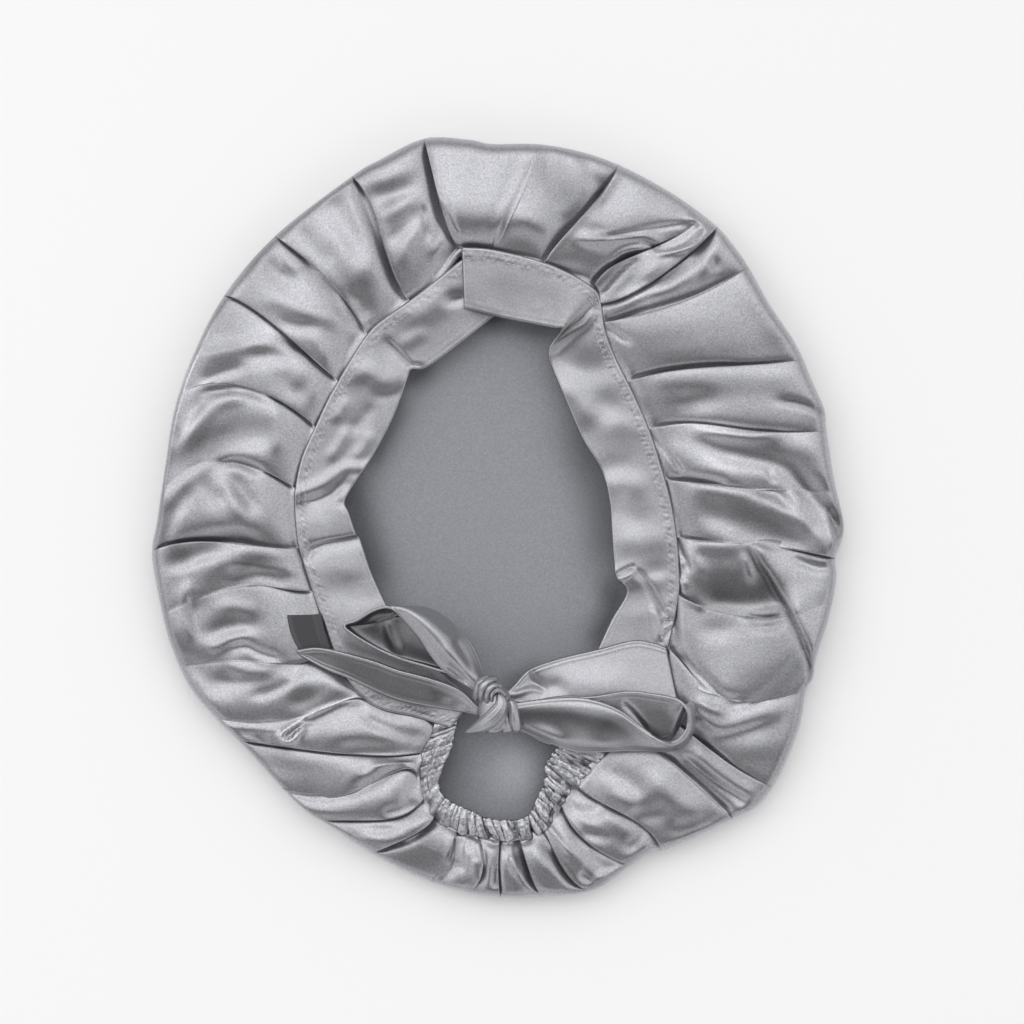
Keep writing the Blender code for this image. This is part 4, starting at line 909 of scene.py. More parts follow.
# %% Shades of the wall
WALL_SHADES = (
    # share of the light taken away, reach (or left, right), taper (or start, end), points x, y
    (0.3, 4, 0.25, 99.5, 36.5, 110.5, 32.5, 123, 31.5, 130, 28),
    (0.38, (2.6, 1.4), (0.25, 0.1), 128.5, 30, 136, 22.5, 143, 13.5, 150.5, 5, 156, -1),
    (0.3, 3, 0.2, 156, 3, 158, -2, 157, -7.5),
    (0.26, 5, 0.3, 104, 6.5, 115.5, 2, 125.5, -3.5, 135, -7.5),
    (0.42, (6, 7), 0.2, 96, -31.5, 107, -30.5, 117, -32.5, 124.5, -33.5),
    (0.38, (5, 4), 0.2, 113.5, -13, 119, -20.5, 124.5, -29, 128.5, -35.5),
    (0.5, (1, 1.6), 0.15, 118, -17.5, 124.5, -28, 131, -38.5, 137, -49.5, 142, -59, 144, -70, 144, -77),
    (0.4, (1.6, 1.2), (0.3, 0.15), 112.5, -43.5, 121, -45.5, 127.5, -45, 131.5, -43),
    (0.34, (1.2, 1), 0.2, 133, -13, 140.5, -16.5, 148, -20, 153.5, -20.5),
    (0.32, 2.6, 0.2, -138, 50, -136, 56.5, -129.5, 60, -120, 59.5),
    (0.3, (7, 5), 0.3, -114.5, 52.5, -122, 45.5, -131, 38, -142.5, 31.5),
    (0.22, 3, 0.3, -105, 41, -103, 33.5, -103, 26),
    (0.36, (1.8, 2.2), (0.3, 0.2), -129.5, 26, -121, 25, -113.5, 22),
    (0.3, 3, 0.3, -123, 16.5, -118, 10, -113.5, 3.5),
    (0.42, (3.4, 2.2), 0.2, -152.5, -20.5, -149.5, -14, -142.5, -10, -131, -10.5, -120, -9, -109.5, -11.5),
    (0.4, 3, 0.3, -153.5, -22.5, -148, -18.5, -140.5, -14.5),
    (0.38, 4, 0.3, -122, -28, -116, -21.5, -109.5, -19.5, -104, -24),
    (0.3, 2.4, 0.3, -133, -52, -128.5, -48.5, -120, -48.5),
    (0.26, 1.6, 0.2, -142, -39, -141.5, -47.5, -140.5, -56.5),
    (0.34, 1, 0.2, -116, -63.5, -111, -67, -104, -68, -93, -66, -83, -65),
    (0.26, 4, 0.3, -96, -83.5, -90, -82, -83.5, -80),
    (0.22, 4, 0.3, -118, -101.5, -107, -107, -93, -111),
    (0.2, 5, 0.3, -89.5, -122, -83.5, -126.5),
    (0.28, 3, 0.3, -68, -120, -63, -117),
    (0.28, 2.4, 0.3, -47.5, -124.5, -46.5, -129.5),
    (0.26, 2, 0.3, -82, -138.5, -71, -140, -60.5, -138),
    (0.32, (8, 6), 0.3, -47.5, -153.5, -40, -155.5, -31.5, -157),
    (0.26, 5, 0.3, -35.5, -146, -29, -149),
    (0.36, 1.8, (0.2, 0.3), -19, -147, -21.5, -153.5, -24, -160),
    (0.4, 4, 0.3, 90, -96, 94, -102.5, 97.5, -109),
    (0.36, 1.5, 0.2, 90, -113, 96, -118, 102.5, -124.5, 109, -131),
    (0.32, 1.3, 0.2, 83.5, -114, 94, -123, 106, -134),
    (0.24, 2.5, 0.3, 94, -91, 100.5, -93, 107, -91),
    (0.24, 3, 0.3, 47.5, -123, 53, -125.5),
    (0.2, 5, 0.3, 50, -142.5, 58.5, -146),
    (0.32, 1.6, (0.2, 0.3), 33, -129.5, 30, -134, 27, -138.5),
    (0.36, 2, 0.2, 10, -154.5, 13, -162, 15, -169.5),
    (0.36, 1.4, 0.2, -1.5, -154.5, -1, -163.5, -0.5, -172),
    (0.3, 2, 0.2, 23, -149.5, 30, -160, 37, -169.5),
    (0.26, 3, 0.3, 42, -163.5, 46.5, -166.5),
    (0.32, (1.6, 2), 0.2, -31.5, 172.5, -30, 156, -27, 145.5, -22.5, 137.5),
    (0.24, 3, 0.3, -53, 142.5, -47.5, 146.5),
    (0.24, 1.4, 0.3, -32.5, 137.5, -33.5, 130),
    (0.24, 3.4, 0.3, -63, 110.5, -59.5, 107),
    (0.3, (1.2, 1.6), 0.2, -61, 152.5, -55, 136, -49.5, 119, -42.5, 104.5),
    (0.26, (1.2, 1.4), 0.2, -93.5, 123, -82, 115.5, -72.5, 105, -67, 95),
    (0.3, 2.4, 0.3, -98.5, 83.5, -92, 78, -85.5, 72.5),
    (0.18, 2.4, 0.3, -131.5, 101.5, -106, 126.5, -69, 154.5, -36.5, 173),
    (0.2, 3, 0.3, -138.5, 76.5, -126.5, 78, -114.5, 80),
    (0.26, 5, 0.3, 22.5, 162, 25, 153.5, 29, 145),
    (0.36, 1.8, 0.2, 53.5, 159.5, 44.5, 144.5, 33.5, 131, 23, 119.5),
    (0.26, 2, 0.3, 48.5, 152.5, 45.5, 147),
    (0.36, 1.1, 0.2, 39, 129.5, 49.5, 130, 60.5, 129.5, 70.5, 128, 74.5, 125, 66, 124.5),
    (0.55, 2, (0.1, 0.2), 45.5, 106.5, 51, 112.5, 57.5, 118.5, 66, 123),
    (0.32, 1.2, 0.2, 49, 100.5, 57.5, 109, 66, 118),
    (0.36, 1.4, 0.2, 71, 108.5, 79, 112.5, 86.5, 120, 95, 130.5),
    (0.2, 2.4, 0.3, 99, 119, 101, 113.5),
    (0.28, 1, 0.2, 49, 90.5, 74.5, 96, 93.5, 103.5, 111, 113),
    (0.14, 10, 0.3, 77, 83, 94, 80, 112.5, 78),
    (0.26, 1, 0.2, 60, 63, 90, 70, 135.5, 71.5),
    (0.22, 4, 0.3, 83.5, 52.5, 90, 51.5),
    (0.36, 1.6, (0.2, 0.1), 128.5, 54.5, 138.5, 53, 150.5, 48.5),
    (-0.35, 1, 0.1, -62.5, -82, -73.5, -85, -85, -89.5, -93.5, -94.5, -99.5, -99, -99.5, -102.5, -95.5,
     -103, -92, -99, -89.5, -95),
    (0.35, 1.2, (0.1, 0.2), -62.5, -84.5, -73.5, -88, -83.5, -92, -90.5, -97.5, -94, -100),
    (0.3, 2, 0.2, -102.5, -97.5, -102.5, -102.5, -98.5, -106, -93, -105),
    (-0.45, 4.5, 0.3, 60.5, 102.5, 71.5, 101.5),
    (0.32, 9, 0.3, 126.5, -38, 127.5, -56.5),
    (0.3, 8, 0.3, 96.5, -37, 110.5, -40),
    (-0.35, 8, 0.3, 99.5, -71.5, 107, -80),
    (-0.35, 8, 0.3, 81, 45.5, 94, 42, 112.5, 40),
    (-0.25, 7, 0.3, 86.5, 28, 103, 25, 122, 19.5),
    (-0.25, 8, 0.3, 129.5, -15, 133, -24),
    (0.26, 9, 0.3, -105, 117, -109.5, 110.5),
    (0.26, 9, 0.3, -126.5, 95, -121, 89.5),
    (0.24, 9, 0.3, -142.5, 8.5, -132, 9.5),
    (0.24, 9, 0.3, -118, -34.5, -111.5, -41),
    (-0.25, 7, 0.3, -105, 87.5, -96.5, 87.5),
    (-0.3, 8, 0.3, -142.5, 64, -134, 64),
)
print("shades on the wall:", len(WALL_SHADES))

# %% [markdown]
# Painted shade darkens the panel where the band hangs over it, and painted light lightens it in the nape
# gap. On the roll at the rim, painted shade takes a little light off its top, and painted light gives its
# very edge some back from the white table.

# %% Shades of the panel and the rim
PANEL_SHADES = (
    (0.55, 9, 0.2, -69, 16.5, -66, 6, -63, -6.5, -59, -20.5, -55, -33.5),
    (0.36, 4.5, 0.2, -43.5, 55, -47.5, 47.5, -53, 36.5, -59.5, 24),
    (0.48, 5, 0.2, -42, 65, -37, 65, -31.5, 69),
    (0.42, 11, (0.3, 0.2), 30, 48, 38, 30.5, 45.5, 13, 49.5, -5.5, 50, -25),
    (0.6, 7, 0.2, 50, -30, 54, -39, 49.5, -51, 44.5, -60.5),
    (0.6, 5, 0.2, -14, 96.5, -6.5, 93.5, 3, 91),
    (0.36, 4.5, 0.2, 5.5, 90, 15, 87.5, 23, 84.5),
    (0.22, 10, 0.2, -22.5, -105.5, -24, -119.5, -20.5, -130),
    (0.3, 5, 0.2, 17.5, -134, 24, -121, 25.5, -109),
    (-0.62, (10, 12), 0.3, 8.5, -108, 10, -116, 8.5, -126.5),
    (0.4, 5, 0.2, 3, -79, 10, -75.5, 19.5, -70),
)
RIM_SHADE = 0.12        # mean share of the light lost on the roll
RIM_SHADE_AT, RIM_SHADE_REACH = 3.2, 2.4
RIM_LIGHT = 0.2         # share of light gained at the very edge
RIM_LIGHT_REACH = 1.8


def rim_shade(outer):
    """Share of the light lost on the roll at the rim, and gained at its very edge from the white floor."""
    last = len(ROWS)
    far = np.linalg.norm(outer[:, :, :2] - outer[:, last:last + 1, :2], axis=2)
    lost = RIM_SHADE * (1.0 + along_rim(13, 30.0)) * np.exp(-(((far - RIM_SHADE_AT) / RIM_SHADE_REACH) ** 2))
    lost = lost * (np.arange(outer.shape[1]) <= last)
    return lost - RIM_LIGHT * np.exp(-((far / RIM_LIGHT_REACH) ** 2))


print("shades on the panel:", len(PANEL_SHADES))

# %% [markdown]
# The outer skin and the lining are joined at the seam, so the crown is one closed body with a thickness.
# The lining needs fewer columns than the outside, where the light draws every fold.

# %% The crown as one closed mesh
LINING_STEP = 4         # the lining has one column for this many of the outer skin
ROW_MM = 1.2            # mm of cloth from row to row, for the uv


def close_fan(faces, rows, first, centre, columns):
    """Triangles from the last row of a closed grid to one centre point."""
    last = first + rows - 1
    faces += [(last + i * rows, centre, last + (i + 1) % columns * rows) for i in range(columns)]


def make_crown():
    """The outer skin has every column, the lining fewer, and a row of wider faces joins the two."""
    columns, deep, shallow = len(outer), outer.shape[1], inner.shape[1]
    kept = list(range(0, columns, LINING_STEP))
    start = columns * deep
    centres = start + len(kept) * shallow
    points = np.vstack([outer.reshape(-1, 3), inner[kept].reshape(-1, 3), [(0, 0, 0), (0, 0, PANEL_Z)]])
    faces = grid_faces(columns, deep, True)
    close_fan(faces, deep, 0, centres, columns)
    outside = len(faces)
    back = grid_faces(len(kept), shallow, True, start)
    close_fan(back, shallow, start, centres + 1, len(kept))
    faces += [face[::-1] for face in back]
    for i, first in enumerate(kept):
        last = kept[i + 1] if i + 1 < len(kept) else columns
        run = [column % columns * deep for column in range(first, last + 1)]
        faces.append((*run, start + (i + 1) % len(kept) * shallow, start + i * shallow))
    run = np.interp(place_of, range(count + 1), rim_stops)
    uv = np.stack(np.broadcast_arrays(run[:, None], np.arange(deep) * ROW_MM), axis=-1).reshape(-1, 2)
    # Painted shade: the panel's shades on the lining, the rim's and the wall's on the outer skin.
    shade = stroke_heights(points[:, 0], points[:, 1], PANEL_SHADES)
    visible = len(ROWS) + 1
    folds = rim_shade(outer)
    folds[:, :visible] += stroke_heights(outer[:, :visible, 0], outer[:, :visible, 1], WALL_SHADES)
    shade[:start] = folds.ravel()
    uv = np.vstack([uv, points[start:, :2]])
    return add_mesh("crown_cloth", points, faces, uv, np.clip(shade, -0.7, 0.7)), outside


crown, outside_faces = make_crown()
face_outwards(crown)
print("crown triangles:", sum(len(face.vertices) - 2 for face in crown.data.polygons))

# %% [markdown]
# The band, the ties and the casing are ribbons. A ribbon is a row of sections, each from edge a to edge b.
# Extruding a curve would give one width and one twist for all of it; sections let the ribbon turn over,
# pinch and lie on what is under it.

# %% Ribbons


def ribbon(rows, step=1.0, across=1.0):
    """A grid of points along and across a ribbon given by its sections, and how far along each row is."""
    rows = np.array(rows, float)
    count_across = rows.shape[1] // 3
    dense = smooth_curve(rows, per_span=12)
    run = lengths_along(dense.reshape(len(dense), count_across, 3).mean(axis=1))
    places = np.linspace(0.0, run[-1], max(4, round(run[-1] / step)) + 1)
    dense = np.stack([np.interp(places, run, column) for column in dense.T], axis=1)
    sections = dense.reshape(len(places), count_across, 3)
    width = np.linalg.norm(np.diff(sections, axis=1), axis=2).sum(axis=1).max()
    per_span = max(2, math.ceil(width / across / (count_across - 1)))
    if count_across == 2:
        shares = np.linspace(0.0, 1.0, per_span + 1)[:, None]
        grid = sections[:, :1] * (1.0 - shares) + sections[:, 1:] * shares
    else:
        flat = sections.transpose(1, 0, 2).reshape(count_across, -1)
        grid = smooth_curve(flat, per_span=per_span).reshape(-1, len(places), 3).transpose(1, 0, 2)
    grid[..., 2] += SEAM_Z
    return grid, places


def from_first_edge(grid):
    """How far each point of the grid is from its ribbon's first edge, measured over the cloth."""
    steps = np.linalg.norm(np.diff(grid, axis=1), axis=2)
    return np.concatenate([np.zeros((len(grid), 1)), np.cumsum(steps, axis=1)], axis=1)


def grid_normals(grid):
    along, across = np.gradient(grid, axis=0), np.gradient(grid, axis=1)
    normals = np.cross(along, across)
    return normals / (np.linalg.norm(normals, axis=2, keepdims=True) + 1e-9)


print("ribbon 10 mm long:", ribbon(((0, 0, 0, 0, 5, 0), (10, 0, 0, 10, 5, 0)))[0].shape)

# %% [markdown]
# Every ribbon is two layers of satin, so it is a closed sheet on both sides of its grid, and its edges are
# soft rolls. The hem, where the cloth is turned in, is a little thicker.

# %% Cloth on both sides of a ribbon
ROUND = 1.1             # how far an edge stands out, in half thicknesses


def border_of(rows, columns):
    """Row and column of each point round the edge of a grid."""
    border = [(0, k) for k in range(columns)] + [(i, columns - 1) for i in range(1, rows)]
    border += [(rows - 1, k) for k in range(columns - 2, -1, -1)] + [(i, 0) for i in range(rows - 2, 0, -1)]
    return np.array(border).T


def edge_points(grid, normals, half, i, k):
    """Points that stand out from the grid's edge, so that the edge is round."""
    at = grid[i, k]
    out = np.cross(np.roll(at, -1, axis=0) - np.roll(at, 1, axis=0), normals[i, k])
    out /= np.linalg.norm(out, axis=1, keepdims=True) + 1e-9
    inside = grid[np.clip(i, 1, len(grid) - 2), np.clip(k, 1, grid.shape[1] - 2)]
    out *= np.sign(np.sum(out * (at - inside), axis=1, keepdims=True))
    return at + out * half[i, k][:, None] * ROUND


def add_ribbon(name, grid, thickness, bead=0.0, bead_reach=1.2, shade=None):
    """A closed sheet on both sides of the grid, with round edges and a hem that is thicker by bead."""
    rows, columns = grid.shape[:2]
    size = rows * columns
    run = from_first_edge(grid)
    from_edge = np.minimum(run, run[:, -1:] - run)
    hem = np.exp(-((from_edge / bead_reach) ** 2))
    hem += 0.6 * np.exp(-(((from_edge - 2.4 * bead_reach) / 0.6) ** 2))
    half = 0.5 * thickness + 0.5 * bead * hem
    normals = grid_normals(grid)
    i, k = border_of(rows, columns)
    sides = [(grid + normals * one[..., None]).reshape(-1, 3) for one in (half, -half)]
    points = np.vstack([*sides, edge_points(grid, normals, half, i, k)])
    faces = grid_faces(rows, columns, False)
    faces += [face[::-1] for face in grid_faces(rows, columns, False, size)]
    flat = i * columns + k
    rim = 2 * size + np.arange(len(flat))
    pairs = np.stack([flat, np.roll(flat, -1), rim, np.roll(rim, -1)], axis=1).tolist()
    for a, b, edge_a, edge_b in pairs:
        faces += [(a, b, edge_b, edge_a), (edge_a, edge_b, size + b, size + a)]
    lengths = lengths_along(grid.mean(axis=1))
    uv = np.stack([np.broadcast_to(lengths[:, None], run.shape), run], axis=-1).reshape(-1, 2)
    dark = np.zeros(size) if shade is None else shade.ravel()
    uv, dark = np.vstack([uv, uv, uv[flat]]), np.concatenate([dark, dark, dark[flat]])
    obj = add_mesh(name, points, faces, uv, dark)
    face_outwards(obj, recalculate=True)
    return obj


print("points round a 3 by 3 grid:", border_of(3, 3).shape[1])

# %% [markdown]
# The band is a straight strip, turned over and sewn to the seam with two rows of stitches. It was sewn flat
# and then bent round an oval, which is why it has kinks and turned corners.

# %% The face band
BAND_CLOTH = 1.2        # thickness
BAND_HEM = 0.14         # how much thicker its hems are
BAND_LEFT = (
    # seam x, y, z above the seam, free edge x, y, z
    (-22, -96, 1.6, -12, -84, 1.6), (-38, -91, 1.2, -25, -72, 1.4), (-57, -86, 1.2, -37, -61, 1.0),
    (-71, -71, 1.2, -46, -50, 0.4), (-80, -48, 1.2, -52, -40, 0.0), (-87, -27, 1.2, -59, -25, -0.4),
    (-91, -14, 1.2, -64, -10, -0.2), (-92, -9, 1.2, -66, -7, 1.2), (-93, 2, 1.2, -69, 2, 1.4),
    (-93, 12, 1.2, -71, 8, 0.6), (-90, 27, 1.2, -66, 17, -0.2), (-84, 41, 1.2, -58, 29, -0.6),
    (-78, 54, 1.2, -50, 44, -0.6), (-73, 63, 1.2, -45, 56, -0.4), (-66, 75, 1.2, -42, 65, 0.2),
    (-60, 84, 1.2, -40, 69, 0.8), (-54, 90, 1.2, -33, 70, -0.4), (-40, 100, 1.2, -19, 80, -0.6),
    (-27, 110, 1.2, -4, 92, -0.6), (-17, 118, 1.2, 6, 100, -0.4), (-9, 123, 1.2, 12, 105, -0.2),
)
BAND_RIGHT = (
    (-16, 124, 4.0, -15, 97, 2.6), (-3, 123, 3.8, 1, 93, 3.0), (18, 118, 3.6, 16, 90, 3.4),
    (33, 112, 3.2, 26, 88, 3.8), (44, 105, 2.6, 30, 87, 3.8), (47, 99, 1.2, 24, 78, 1.6),
    (49, 86, 1.2, 25, 71, 0.2), (54, 73, 1.2, 32, 54, -0.4), (61, 59, 1.2, 40, 36, -0.6),
    (69, 41, 1.2, 48, 23, -0.6), (74, 26, 1.2, 52, 8, -0.4), (79, 8, 1.2, 53, -6, 0.0),
    (82, -10, 1.2, 54, -20, 0.6), (83, -25, 1.2, 55, -27, 1.6), (83, -34, 1.2, 60, -34, 0.0),
    (81, -46, 1.2, 53, -47, -0.2), (78, -59, 1.2, 46, -62, -0.2),
)
grid_left, places_left = ribbon(BAND_LEFT, step=0.7, across=0.8)
grid_right, places_right = ribbon(BAND_RIGHT, step=0.7, across=0.8)
print("band mm:", places_left[-1].round(), "on the left,", places_right[-1].round(), "on the right")

# %% [markdown]
# The band has its own pressed folds and shades, at its kinks, where it runs under the tie and over the
# edge of the panel. They are strokes like those of the wall.

# %% Folds and shades of the band
BAND_LEFT_STROKES = (
    # height, reach (or left, right), taper (or start, end), points x, y
    (1.2, (6.9, 5.75), 0.2, -42, 92, -32.5, 96, -24, 101.5),
    (-1.05, (3.45, 2.3), (0.2, 0.1), -24, 99.5, -19.5, 100.5, -16, 101.5),
    (-1.13, (1.15, 5.75), (0.15, 0.05), -50.5, 81.5, -46, 77, -40.5, 71, -36.5, 70),
    (1.07, (5.75, 4.6), 0.2, -68, 65, -60.5, 67.5, -53, 62.5, -44.5, 63),
    (-0.48, (4.6, 3.45), 0.2, -56, 56, -49.5, 57.5, -43.5, 60.5),
    (0.66, 3.45, 0.2, -43.5, 80.5, -39, 83, -34.5, 85.5),
    (0.8, 2.76, 0.2, -78, 27, -73, 33.5, -69, 41),
    (0.73, 2.76, 0.2, -66, 28, -61.5, 33, -58.5, 39),
    (0.7, 2.76, 0.2, -75.5, 45.5, -72, 50, -70, 54),
    (-0.66, 3.45, 0.2, -68, 40, -62.5, 45.5, -58.5, 51),
    (0.93, (2.99, 2.53), 0, -94, 10.5, -86.5, 13, -80, 16, -74.5, 20, -69, 23, -59.5, 23),
    (-1.01, (2.76, 2.53), (0.2, 0.1), -89.5, 7, -82, 9, -76.5, 11, -71.5, 14.5, -68, 17),
    (-0.82, (3.45, 5.75), (0.1, 0.2), -92, 5.5, -85.5, 6, -79, 5.5),
    (0.8, 2.76, 0.2, -73.5, 8.5, -70.5, 14, -65, 19.5),
    (-1.12, (1.15, 4.14), (0.1, 0.05), -87.5, -15, -83, -12.5, -77, -11, -70.5, -10, -63.5, -8),
    (-1.05, 2.1, (0.2, 0.3), -88, -19.5, -86.5, -16, -84.5, -12.5),
    (-0.4, (6.9, 5.75), 0.2, -81, -35.5, -72.5, -34.5, -63, -38),
    (0.31, 5.75, 0.2, -82, -22.5, -73.5, -24, -64, -22.5),
)
BAND_RIGHT_STROKES = (
    (1.21, (1.26, 2.52), (0.05, 0.1), 23.5, 78, 29, 82.5, 34.5, 86.5, 40, 90, 43.5, 95),
    (-1.64, (9.2, 6.32), 0.1, 27, 75.5, 34.5, 70.5, 42, 68.5, 49.5, 70),
    (-1.17, (7.47, 5.75), 0.3, 48.5, 54, 50, 52.5, 52, 52),
    (0.99, 5.75, 0.2, 30.5, 60.5, 36.5, 54, 43, 45.5),
    (-1.17, (7.47, 5.75), 0.3, 53.5, 23.5, 56, 22.5, 58.5, 22.5),
    (0.69, (4.6, 6.9), 0.2, 49.5, 41, 56.5, 43, 64, 40),
    (-1.14, (7.47, 5.75), 0.3, 60.5, 2, 62.5, 0.5, 64.5, 0),
    (0.72, 5.17, 0.2, 50, 15, 57.5, 17.5, 66, 15),
    (0.75, 5.75, 0.2, 55, -9.5, 64, -11, 76.5, -8.5),
    (-0.78, (5.17, 3.45), (0.3, 0.2), 66, -25, 70.5, -25, 76.5, -23.5),
    (-0.89, 0.95, 0.15, 54, -26.5, 58, -24, 63, -22),
    (0.85, 0.95, 0.15, 53.5, -28.5, 58.5, -27.5, 63, -24.5),
    (-1.02, (1.05, 2.31), (0.1, 0.2), 64.5, -24, 69.5, -30, 73, -36, 76, -42.5, 78.5, -46.5),
    (-1.13, 1.26, 0.2, 75.5, -47, 78, -48, 81, -47),
    (-1.1, 1.26, 0.2, 76.5, -55, 79, -52, 81, -50),
    (1.21, 1.68, 0.2, 71.5, -41, 73.5, -48.5, 74.5, -56.5),
)
BAND_SHADES = (
    # share of the light taken away, then as above
    (0.6, 3, (0.15, 0.1), -71.5, -54, -68, -58.5, -55, -63.5, -36.5, -70, -20, -76.5),
    (0.5, 3, 0.2, -61.5, -80, -50, -83, -38.5, -86.5, -29, -90),
    (0.32, 3, 0.3, -21.5, 106, -18.5, 101.5),
    (0.34, 1.5, (0.2, 0.1), -50.5, 81, -46.5, 77, -40.5, 70),
    (0.34, 2.4, 0.3, -82, 12, -76.5, 15, -70.5, 17.5),
    (0.24, 3, 0.3, -90.5, 8.5, -88.5, 3.5),
    (0.36, (1.2, 1), (0.2, 0.1), -87, -16, -83, -12.5, -76, -10.5, -63.5, -8),
    (0.42, 3.6, 0.2, 27, 83.5, 34.5, 86.5, 42, 91),
    (0.34, 1.2, 0.2, 23, 78, 30, 84.5, 38, 92, 43.5, 98.5),
    (0.18, 7, 0.3, 42, 68, 46.5, 58.5),
    (-0.3, 5, 0.3, 51, 40, 54, 31.5),
    (-0.35, 5, 0.3, 57.5, 13, 61.5, 4.5),
    (0.2, 8, 0.3, -8.5, 109, 5.5, 107, 19.5, 104.5, 36, 100.5),
    (0.36, 1.6, (0.2, 0.1), 66.5, -27.5, 71.5, -35.5, 76.5, -43.5),
    (0.3, 3, 0.2, -12, 96, -4.5, 93.5, 2, 93),
)
print("folds of the band:", len(BAND_LEFT_STROKES), "and", len(BAND_RIGHT_STROKES))

# %% [markdown]
# The thread draws the band in a little, so it puckers beside the seam, and its free edge stands off the
# inside of the crown. Tight ripples as long as a stitch stand for the puckers; they fade out a few
# millimetres from the seam.

# %% Sewing the band to the seam
STITCH = 2.3            # spacing of the stitches
STITCH_ROWS = (1.7, 4.3)  # how far the two rows of stitches are from the seam


def pucker(grid, places, strokes, seed):
    """Strokes, low swells over the width, and the tight ripples that two rows of stitches draw in."""
    seam = from_first_edge(grid)
    along = np.broadcast_to(places[:, None], seam.shape)
    stitched = np.exp(-(((seam - 3.0) / 1.9) ** 2))
    ripple = 0.15 * uneven(along, seam, seed, 1.5, 1.5) + 0.06 * np.sin(TAU * (along / STITCH + 0.3 * seam))
    swell = 0.3 * uneven(along, seam, seed + 1, 17.0, 15.0) * smoothstep(1.0, 8.0, seam)
    fine = 0.1 * uneven(along, seam, seed + 2, 7.0, 10.0) * smoothstep(4.0, 8.0, seam)
    grid[..., 2] += ripple * stitched + swell + fine
    grid[..., 2] += stroke_heights(grid[..., 0], grid[..., 1], strokes)
    return grid


def stitch_lines(grid, thickness):
    """One line for each row of stitches, just over the band."""
    seam, normals = from_first_edge(grid), grid_normals(grid)
    normals = normals * np.sign(normals[..., 2:])
    lines = []
    for distance in STITCH_ROWS:
        at = np.argmin(np.abs(seam - distance), axis=1)
        rows = np.arange(len(grid))
        line = grid[rows, at] + normals[rows, at] * (0.5 * thickness + 0.08)
        lines.append(np.vstack([line[:1], 0.25 * line[:-2] + 0.5 * line[1:-1] + 0.25 * line[2:], line[-1:]]))
    return lines


def add_band(name, grid, places, strokes, seed):
    """One length of the band, and its lines of stitches."""
    grid = pucker(grid, places, strokes, seed)
    dark = stroke_heights(grid[..., 0], grid[..., 1], BAND_SHADES)
    return add_ribbon(name, grid, BAND_CLOTH, BAND_HEM, shade=dark), stitch_lines(grid, BAND_CLOTH)


band_left, lines_left = add_band("band_left_cloth", grid_left, places_left, BAND_LEFT_STROKES, 21)
band_right, lines_right = add_band("band_right_cloth", grid_right, places_right, BAND_RIGHT_STROKES, 31)
print("band faces:", len(band_left.data.polygons), len(band_right.data.polygons))

# %% [markdown]
# Two rows of stitches run along the seam on each part of the band. Each stitch is a small capsule of
# thread. They could be copied along a curve by an array modifier, but a node tree also turns each one a
# little.

# %% The stitches as a node tree


def add_node(tree, kind, *values, **named):
    """A new node. Its first inputs get the values; a name with a capital is an input, others are settings.

    An input is set to its value, or linked where the value is another node's socket.
    """
    node = tree.nodes.new(kind)
    for name, value in named.items():
        if name[0].islower():
            setattr(node, name, value)
    inputs = [(node.inputs[name.replace("_", " ")], named[name]) for name in named if name[0].isupper()]
    for socket, value in [*zip(node.inputs, values), *inputs]:
        if isinstance(value, bpy.types.NodeSocket):
            tree.links.new(value, socket)
        else:
            socket.default_value = value
    return node


def calculate(tree, kind, *values):
    """What a math node gives for these values."""
    return add_node(tree, "ShaderNodeMath", *values, operation=kind).outputs[0]


def stitch_tree():
    """Small capsules of thread along the wires that it is given, each turned along its wire."""
    tree = bpy.data.node_groups.new("stitches", "GeometryNodeTree")
    for name, kind in (
        ("Geometry", "Geometry"), ("Pitch", "Float"), ("Length", "Float"), ("Thickness", "Float"),
        ("Turn", "Float"), ("Seed", "Int"), ("Material", "Material"),
    ):
        tree.interface.new_socket(name, in_out="INPUT", socket_type="NodeSocket" + kind)
    tree.interface.new_socket("Geometry", in_out="OUTPUT", socket_type="NodeSocketGeometry")
    given = tree.nodes.new("NodeGroupInput").outputs
    curve = add_node(tree, "GeometryNodeMeshToCurve", Mesh=given["Geometry"]).outputs[0]
    spaced = add_node(tree, "GeometryNodeResampleCurve", mode="LENGTH", Curve=curve, Length=given["Pitch"])
    capsule = add_node(tree, "GeometryNodeMeshUVSphere", Segments=10, Rings=6, Radius=0.5).outputs[0]
    ahead = add_node(tree, "GeometryNodeInputTangent").outputs[0]
    along = add_node(tree, "FunctionNodeAlignRotationToVector", axis="X", Vector=ahead)
    chance = add_node(tree, "FunctionNodeRandomValue", data_type="FLOAT", Seed=given["Seed"])
    tree.links.new(calculate(tree, "MULTIPLY", given["Turn"], -1.0), chance.inputs[2])
    tree.links.new(given["Turn"], chance.inputs[3])
    angle = add_node(tree, "ShaderNodeCombineXYZ", Z=chance.outputs[1]).outputs[0]
    turn = add_node(tree, "FunctionNodeEulerToRotation", Euler=angle).outputs[0]
    turned = add_node(
        tree, "FunctionNodeRotateRotation", rotation_space="LOCAL", Rotation=along.outputs[0], Rotate_By=turn
    )
    thickness = given["Thickness"]
    size = add_node(tree, "ShaderNodeCombineXYZ", given["Length"], thickness, thickness).outputs[0]
    placed = add_node(
        tree, "GeometryNodeInstanceOnPoints", Points=spaced.outputs[0], Instance=capsule, Scale=size,
        Rotation=turned.outputs[0]
    )
    whole = add_node(tree, "GeometryNodeRealizeInstances", Geometry=placed.outputs[0]).outputs[0]
    threads = add_node(tree, "GeometryNodeSetMaterial", Geometry=whole, Material=given["Material"])
    tree.links.new(threads.outputs[0], tree.nodes.new("NodeGroupOutput").inputs[0])
    return tree


